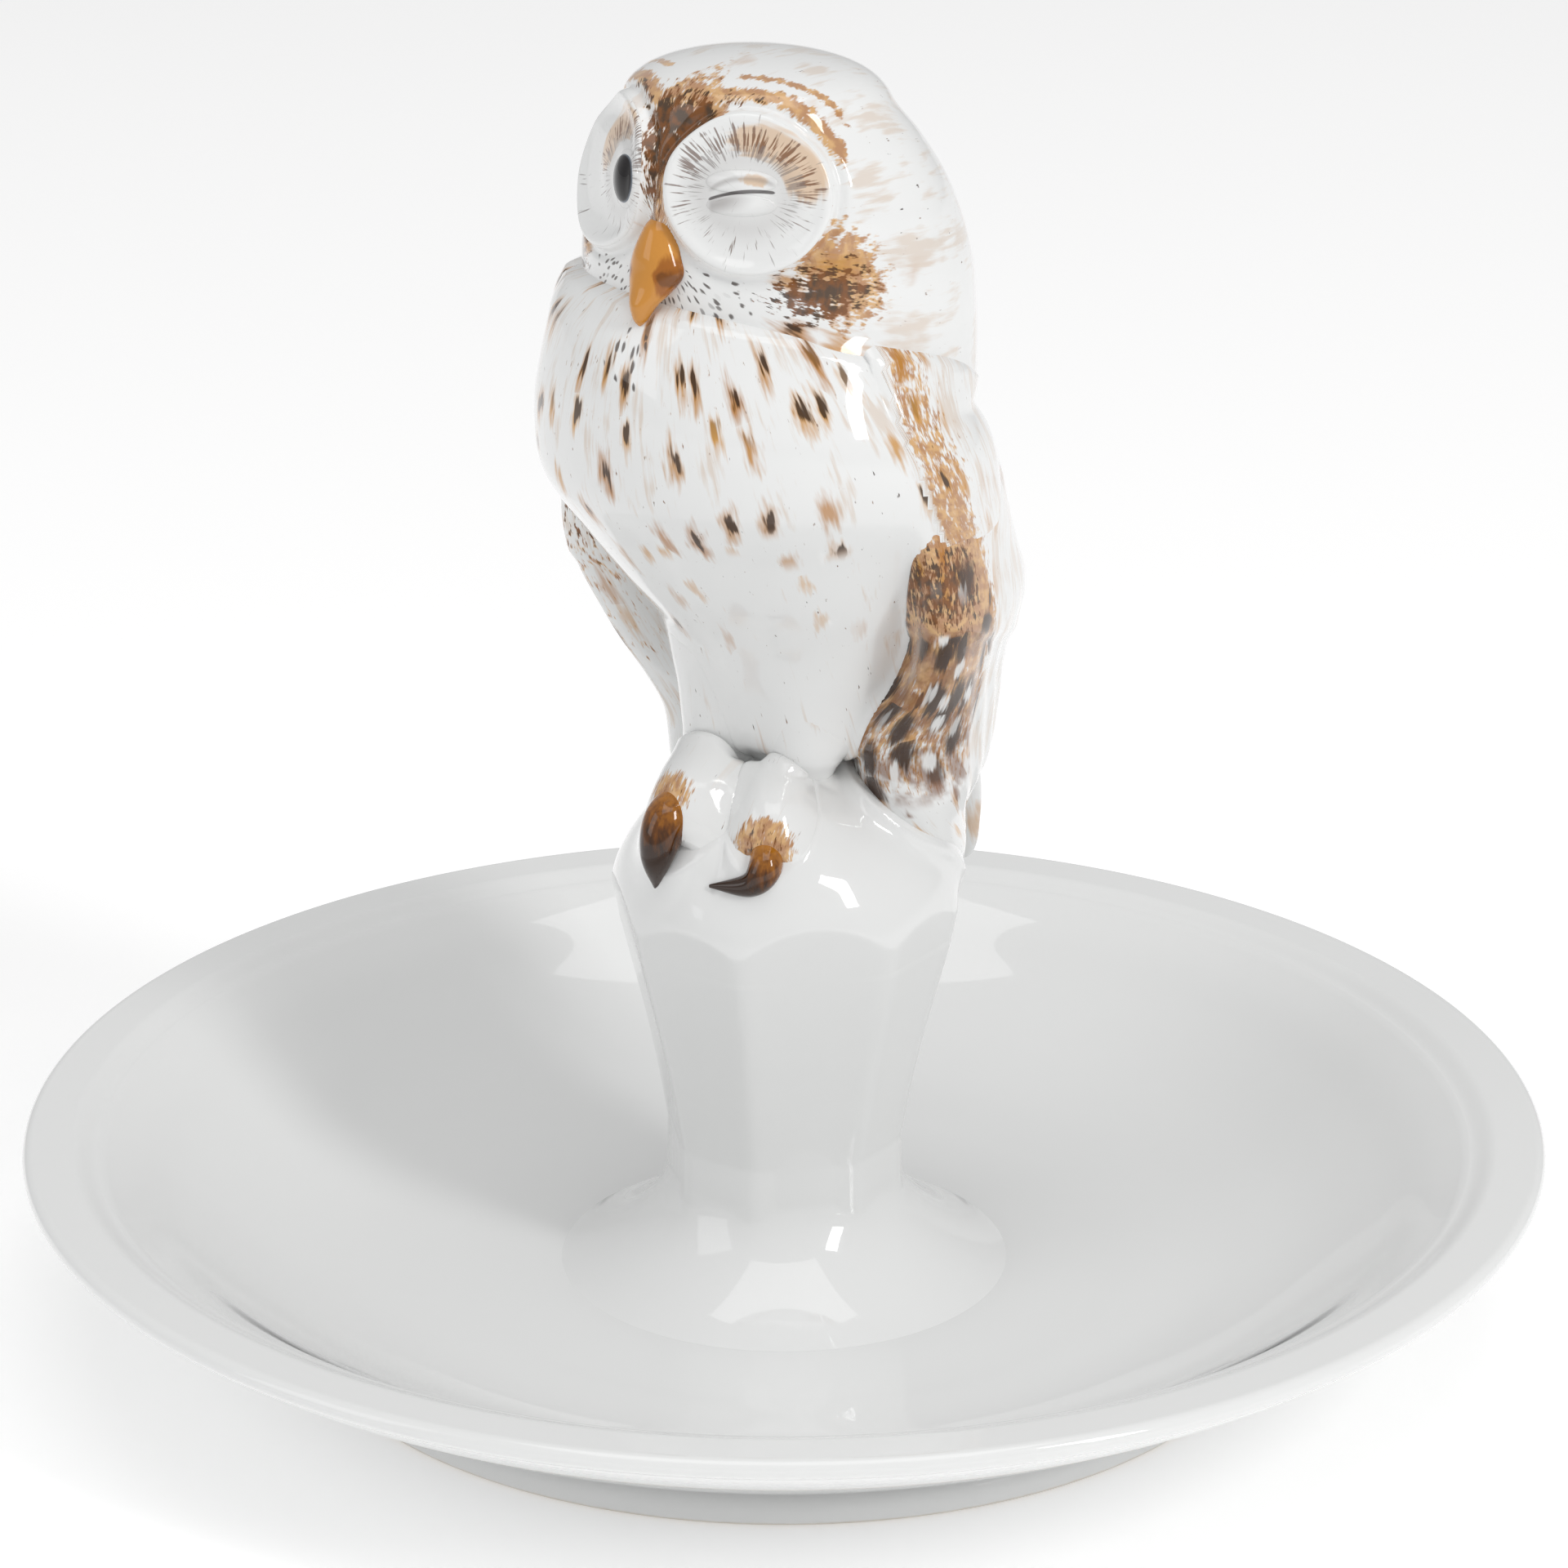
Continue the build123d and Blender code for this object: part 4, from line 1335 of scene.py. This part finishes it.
            high = (1 - np.abs(out - 21.5) / 2.6) * ease(angle, 0.5, 0.9) * ease(angle, 1.9, 1.6)
            temple = (1 - np.abs(out - 15.8) / 2.2) * ease(angle, -0.9, -0.4) * ease(angle, 0.5, 0.2)
            level = np.maximum(np.maximum(arc, high * 0.9), temple * 0.25)
            ochre = np.maximum(ochre, near * np.clip(level, 0, 1) * 0.9)
            brow = (1 - np.abs(out - 15.2) / 2.4) * hump(angle, 1.9, 0.5)
            dark = np.maximum(dark, near * 0.6 * np.clip(brow, 0, 1))
            away_x = sideways * side.value - 25.0
            cheek = 1 - np.hypot(away_x / 6.5, (height - 81.5 - 0.1 * away_x) / 4.0)
            dark = np.maximum(dark, np.clip(0.42 + 0.6 * cheek, 0, 0.9) * (np.abs(away_x) < 14))
            streak = 1 - np.hypot((away_x - 3.0 + 0.2 * (height - 81)) / 9.0, (height - 84.0) / 10.5)
            ochre = np.maximum(ochre, np.clip(0.25 + 0.8 * streak, 0, 0.85) * (np.abs(away_x) < 18))
            warm = np.maximum(warm, ease(np.abs(away_x), 16, 6) * ease(height, 96, 84))
        bib = ease(np.abs(sideways), 17, 12) * ease(height, 84.5, 82.0)
        crown = ease(away @ pole, 0.6, 0.2)
        return {
            "lie": lie,
            "dabs": 0.1 + 0.75 * warm + 0.3 * crown * ease(height, 70, 90),
            "depth": 0.05 + 0.85 * warm * ease(height, 84, 74),
            "warmth": 0.25 + 0.65 * warm,
            "wash": 0.15 + 0.5 * crown,
            "ochre": np.maximum(ochre, 0.5 * ease(np.abs(sideways), 10, 5) * hump(height, 107, 3.0)),
            "dark": dark,
            "specks": 0.95 * bib,
        }

    def disc_paint(self, skin: Skin, side: Side) -> dict:
        """Painting values of a disc: polar place, hairs, warm and grey shading, and lid lines."""
        away = unit(skin.points - self.middle)
        x, y, _ = self.on_disc(away, side)
        if side is Side.LEFT:
            middle, squash = (self.lid_offset[0] + 0.3, self.lid_offset[1] + 0.2), 1.22
        else:
            middle, squash = (-self.eye_offset[0] + 2.2, self.eye_offset[1]), 1.0
        px, py = (x - middle[0]) / squash, y - middle[1]
        out = np.maximum(np.hypot(px, py), 1e-3)
        ring = np.stack([px / out, py / out, out], axis=1)
        angle = np.arctan2(py, px)
        upper = ease(angle, -0.5, 0.4) * ease(angle, 3.0, 2.3)
        lower = 1 - ease(np.abs(angle + 1.57), 0.4, 1.4)
        ochre = (0.6 * upper * ease(np.cos(angle), -0.6, 0.3) + 0.3) * hump(out, 8.0, 3.2)
        hairs = 0.55 + 0.45 * upper - 0.2 * lower
        shade = 0.3 * hump(out, 5.2, 2.2) * ease(out, 13, 9)
        line = np.zeros(len(out))
        if side is Side.LEFT:
            lx, ly = x - self.lid_offset[0], y - self.lid_offset[1]
            slit = 0.5 - 0.018 * lx**2 + 0.12 * lx
            window = ease(np.abs(lx), 5.6, 4.4)
            line = hump(ly, slit, 0.3) * window
            shade = np.maximum(shade, 0.75 * hump(ly - slit, -1.1, 1.3) * window * ease(lx, 3.0, -3.0))
            fold = hump(ly, 2.4 - 0.05 * lx**2 + 0.1 * lx, 0.5) * ease(np.abs(lx), 6.0, 4.0)
            shade = np.maximum(shade, 0.6 * fold)
            ochre = np.maximum(ochre, 0.75 * np.exp(-(((lx - 1.8) / 3.0) ** 2 + ((ly - 2.2) / 1.4) ** 2)))
        return {"ring": ring, "hairs": hairs, "ochre": ochre, "shade": shade, "line": line}

    def head_skin(self) -> Skin:
        """The head with its face relief, sunk a little where the discs lie on it."""
        skin = self.form.skin(206, 400)
        away = unit(skin.points - self.middle)
        lowered = np.zeros(len(away))
        for side in Side:
            x, y, near = self.on_disc(away, side)
            edge = np.hypot(x / self.disc_wide, y / self.disc_tall)
            lowered = np.maximum(lowered, near * ease(edge, 0.965, 0.92))
        return skin.raised(self.relief(away) - 0.45 * lowered, away)

    def build(
        self,
        plumage: bpy.types.Material,
        face: bpy.types.Material,
        beak: bpy.types.Material,
        eye: bpy.types.Material,
        torso: Field,
    ) -> None:
        """Makes every piece of the head.

        Args:
            plumage: the finish of the crown.
            face: the finish of the discs, rim and lids.
            beak: the finish of the beak.
            eye: the finish of the open eye.
            torso: the distance field of the torso.
        """
        head = filleted(self.head_skin(), [(torso, self.neck)])
        head.paint = self.head_paint(head.points)
        make_piece("head_crown", head, plumage, ["owl_head"])
        for side in Side:
            disc = self.patch(
                side, (0.0, 0.0), (self.disc_wide * 1.03, self.disc_tall * 1.03),
                lambda share: 0.03 - 0.9 * ease(share, 0.955, 1.0), 1.4, 62,
            )
            disc.paint.update(self.disc_paint(disc, side))
            make_piece(f"{side.word}_eye_disc", disc, face, [f"{side.word}_facial_disc"])
        eye_place = (-self.eye_offset[0], self.eye_offset[1])
        ball = self.patch(
            Side.RIGHT, eye_place, self.eye_size,
            lambda share: 0.95 * np.sqrt(np.maximum(1 - share**2, 0)) + 0.1, 0.5, 22,
        )
        make_piece("black_eye", ball, eye, ["open_eye"])
        rim = self.patch(
            Side.RIGHT, eye_place, self.rim_size,
            lambda share: 0.42 * np.sqrt(np.maximum(1 - share**4, 0)), 0.6, 22,
        )
        rim.paint.update(self.disc_paint(rim, Side.RIGHT))
        make_piece("eye_rim", rim, face, ["open_eye_rim"])
        for name, lift, tall, high in (("upper", 2.1, 1.75, 0.6), ("lower", -1.35, 1.65, 0.45)):
            place = (self.lid_offset[0], self.lid_offset[1] + lift)
            lid = self.patch(
                Side.LEFT, place, (self.lid_width, tall),
                lambda share: high * np.sqrt(np.maximum(1 - share**2, 0)), 0.5, 26,
            )
            lid.paint.update(self.disc_paint(lid, Side.LEFT))
            make_piece(f"{name}_lid", lid, face, [f"closed_{name}_lid"])
        rows = lifted(self.beak_rows, self.perch)
        bill = OvalBody(rows, low_cap=1.2, high_cap=2.0).skin(90, 110)
        sideways, height = np.abs(bill.points[:, 0]), bill.points[:, 2] - self.perch
        gape = 84.4 - 0.45 * sideways
        # Painted shade: the beak darkens to brown down its sides near the lower base and along the gape; this
        # value goes to the finish as its along value.
        shade = ease(sideways, 1.6, 3.6) * hump(height, 83.0, 3.6)
        shade += 0.6 * hump(height, gape, 0.8) * ease(sideways, 1.0, 3.0)
        bill = Skin(turned_about_z(bill.points, -self.turn), bill.faces, {"along": shade})
        make_piece("hooked_beak", bill, beak, ["beak"])


# ---------------------------------------------------------------- owl: feet


@dataclass(frozen=True)
class Toe:
    """One feathered toe and its claw: paths of (x, y, height over the perch) and their radii."""

    name: str
    path: tuple
    widths: tuple
    claw: tuple
    claw_widths: tuple

    def distance(self, points: Array, perch: float) -> Array:
        """About how far points lie outside the toe."""
        path = np.array(self.path) + np.array([0.0, 0.0, perch])
        nearest = np.full(len(points), 1e3)
        for start, end, first, last in zip(path, path[1:], self.widths, self.widths[1:]):
            step = end - start
            share = np.clip((points - start) @ step / (step @ step), 0, 1)
            gap = np.linalg.norm(points - start - share[:, None] * step, axis=1)
            nearest = np.minimum(nearest, gap - first - (last - first) * share)
        return nearest


@dataclass
class OwlFeet:
    """One feathered toe with its claw from each foot, gripping the column's top."""

    perch: float
    column: FacetedColumn
    toes: tuple = (
        Toe(
            "right",
            (
                (-4.6, -9.5, 0.4), (-5.4, -13.4, -1.4), (-5.0, -16.6, -4.0),
                (-5.4, -19.2, -6.8), (-5.4, -20.4, -8.8),
            ),
            (5.6, 6.6, 7.0, 6.4, 4.8),
            ((-5.6, -19.6, -2.6), (-5.8, -23.6, -5.2), (-5.9, -25.8, -10.0), (-6.7, -24.9, -15.8)),
            (3.2, 3.6, 2.6, 0.3),
        ),
        Toe(
            "left",
            (
                (3.6, -8.4, -0.6), (5.6, -11.4, -1.9), (7.5, -14.2, -4.2),
                (8.7, -16.5, -7.0), (8.9, -17.6, -8.8),
            ),
            (4.4, 5.0, 5.4, 5.0, 3.8),
            ((9.45, -18.9, -6.9), (10.9, -21.3, -9.7), (9.0, -22.9, -12.3), (3.0, -24.7, -13.2)),
            (2.2, 2.6, 1.9, 0.25),
        ),
    )

    def field(self, toe: Toe) -> Field:
        """The distance field of a toe."""
        return partial(toe.distance, perch=self.perch)

    def paint(self, points: Array, toe: Toe) -> dict:
        """Painting values of a toe: white feathers with a brown fringe where the claw comes out."""
        root = np.array(toe.claw[0]) + np.array([0.0, 0.0, self.perch])
        near = np.linalg.norm(points - root, axis=1)
        count = len(points)
        return {
            "lie": np.stack([points[:, 0] * 1.5, -points[:, 2], np.zeros(count)], axis=1),
            "dabs": np.full(count, 0.1),
            "depth": np.full(count, 0.2),
            "warmth": np.full(count, 0.5),
            "wash": np.full(count, 0.25),
            "ochre": 0.75 * ease(near, 6.2, 3.6),
            "dark": 0.35 * ease(near, 4.6, 3.2),
        }

    def build(self, plumage: bpy.types.Material, horn: bpy.types.Material, above: Sequence[Field]) -> None:
        """Makes the toes and claws."""
        up = np.array([0.0, 0.0, self.perch])
        for toe in self.toes:
            skin = tube(np.array(toe.path) + up, np.array(toe.widths), 110, 90)
            beside = [self.field(other) for other in self.toes if other is not toe]
            skin = filleted(skin, [(self.column.distance, 7.0)] + [(form, 5.0) for form in [*above, *beside]])
            skin.paint = self.paint(skin.points, toe)
            make_piece(f"{toe.name}_feathered_toe", skin, plumage, [f"{toe.name}_toe"])
            claw = tube(np.array(toe.claw) + up, np.array(toe.claw_widths), 40, 48)
            make_piece(f"{toe.name}_horn_claw", claw, horn, [f"{toe.name}_claw"])


# ---------------------------------------------------------------- studio


@dataclass(frozen=True)
class SoftBox:
    """One soft rectangular light."""

    name: str
    place: tuple
    size: tuple
    watts: float
    colour: tuple = (1.0, 1.0, 1.0)


@dataclass
class Studio:
    """A pale floor, soft daylight and the camera."""

    aim: tuple = (0.0, 0.0, 0.0876)
    azimuth: float = 34.0
    elevation: float = 20.36
    distance: float = 0.8
    lens: float = 118.35
    room_light: float = 0.52
    floor_glow: float = 0.27
    floor_reach: float = 6.0
    lights: tuple = (
        SoftBox("window_right", (1.35, -0.2, 1.0), (0.24, 0.7), 8.0, (1.0, 0.995, 0.99)),
        SoftBox("window_left", (-0.9, -1.3, 0.9), (0.8, 1.1), 3.2, (0.99, 0.995, 1.0)),
        SoftBox("ceiling", (0.2, -0.3, 1.9), (1.4, 1.4), 9.4),
    )

    def floor(self) -> None:
        """Makes the pale floor."""
        size = self.floor_reach
        mesh = bpy.data.meshes.new("pale_floor")
        corners = [(-size, -size, 0.0), (size, -size, 0.0), (size, size, 0.0), (-size, size, 0.0)]
        mesh.from_pydata(corners, [], [(0, 1, 2, 3)])
        material = bpy.data.materials.new("pale_floor")
        material.use_nodes = True
        graph = Graph(material.node_tree)
        body = material.node_tree.nodes["Principled BSDF"]
        place = graph.place()
        cloud = graph.noise(place, 3.0, 2.0)
        pale, paler = (0.86, 0.86, 0.86, 1.0), (0.88, 0.88, 0.88, 1.0)
        graph.feed(body.inputs["Base Color"], graph.mix(cloud, pale, paler))
        body.inputs["Roughness"].default_value = 0.7
        body.inputs["Emission Color"].default_value = (1.0, 1.0, 1.0, 1.0)
        body.inputs["Emission Strength"].default_value = self.floor_glow
        mesh.materials.append(material)
        floor = bpy.data.objects.new("pale_floor", mesh)
        bpy.context.scene.collection.objects.link(floor)

    def light(self) -> None:
        """Places the soft boxes and the even light of the room."""
        for box in self.lights:
            data = bpy.data.lights.new(box.name, "AREA")
            data.shape = "RECTANGLE"
            data.size, data.size_y = box.size
            data.energy = box.watts
            data.color = box.colour
            lamp = bpy.data.objects.new(box.name, data)
            lamp.location = box.place
            towards = Vector(self.aim) - Vector(box.place)
            lamp.rotation_euler = towards.to_track_quat("-Z", "Y").to_euler()
            bpy.context.scene.collection.objects.link(lamp)
        world = bpy.data.worlds.new("room")
        world.use_nodes = True
        sky = world.node_tree.nodes["Background"]
        sky.inputs["Color"].default_value = (1.0, 1.0, 1.0, 1.0)
        sky.inputs["Strength"].default_value = self.room_light
        bpy.context.scene.world = world

    def camera(self) -> None:
        """Places the camera."""
        data = bpy.data.cameras.new("camera")
        data.lens = self.lens
        data.clip_start = 0.05
        camera = bpy.data.objects.new("camera", data)
        around, up = math.radians(self.azimuth), math.radians(self.elevation)
        reach = self.distance * math.cos(up)
        offset = Vector((reach * math.sin(around), -reach * math.cos(around), self.distance * math.sin(up)))
        camera.location = Vector(self.aim) + offset
        camera.rotation_euler = (-offset).to_track_quat("-Z", "Y").to_euler()
        bpy.context.scene.collection.objects.link(camera)
        bpy.context.scene.camera = camera

    def build(self) -> None:
        """Makes the whole studio."""
        self.floor()
        self.light()
        self.camera()
        bpy.context.scene.view_settings.view_transform = "Standard"


# ---------------------------------------------------------------- main


def high_corner(node: str) -> Array:
    """The far upper corner of a CAD node's box, in millimetres."""
    _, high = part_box(node)
    return np.array(high) / MM


def main() -> None:
    """Builds every piece in order, then the studio."""
    logging.basicConfig(level=logging.INFO, format="%(name)s: %(message)s")
    effects, paints = Effects(), Paints()
    white, foot = WhiteGlaze().build(effects), BareFoot().build(effects)
    plumage, face, eye = Plumage().build(effects), FacePaint().build(effects), EyePaint().build(effects)
    # On the beak these colours are painted shade: amber on the lit ridge, deep amber and rust down the shaded
    # sides and gape.
    deep_amber = (0.34, 0.11, 0.01, 1.0)
    beak = TipPaint("painted_beak", paints.amber, deep_amber, paints.rust, 0.5, 1.0).build(effects)
    horn = TipPaint("painted_claw", paints.honey, paints.rust, paints.sepia, 0.25, 0.45).build(effects)

    high, ring_high, column_high = map(high_corner, ("dish", "foot_ring", "perch_column"))
    dish = FootedDish(high[0], high[2], ring_high[0], ring_high[2])
    dish.build(white, foot)

    column = FacetedColumn(column_high[2], dish.floor - 0.6, column_high[0])

    perch = column_high[2]
    head = OwlHead(perch)
    body = OwlBody(perch, column, head.form.distance)
    body.build(plumage)
    feet = OwlFeet(perch, column)
    hem = [body.torso.distance] + [leg.distance for leg in body.legs.values()]
    feet.build(plumage, horn, hem)
    sitting = hem + [wing.distance for wing in body.wings.values()]
    seams = [(form, 7.0) for form in sitting] + [(feet.field(toe), 8.0) for toe in feet.toes]
    column.build(white, seams)
    head.build(plumage, face, beak, eye, body.torso.distance)
    Studio().build()


if __name__ == "__main__":
    main()
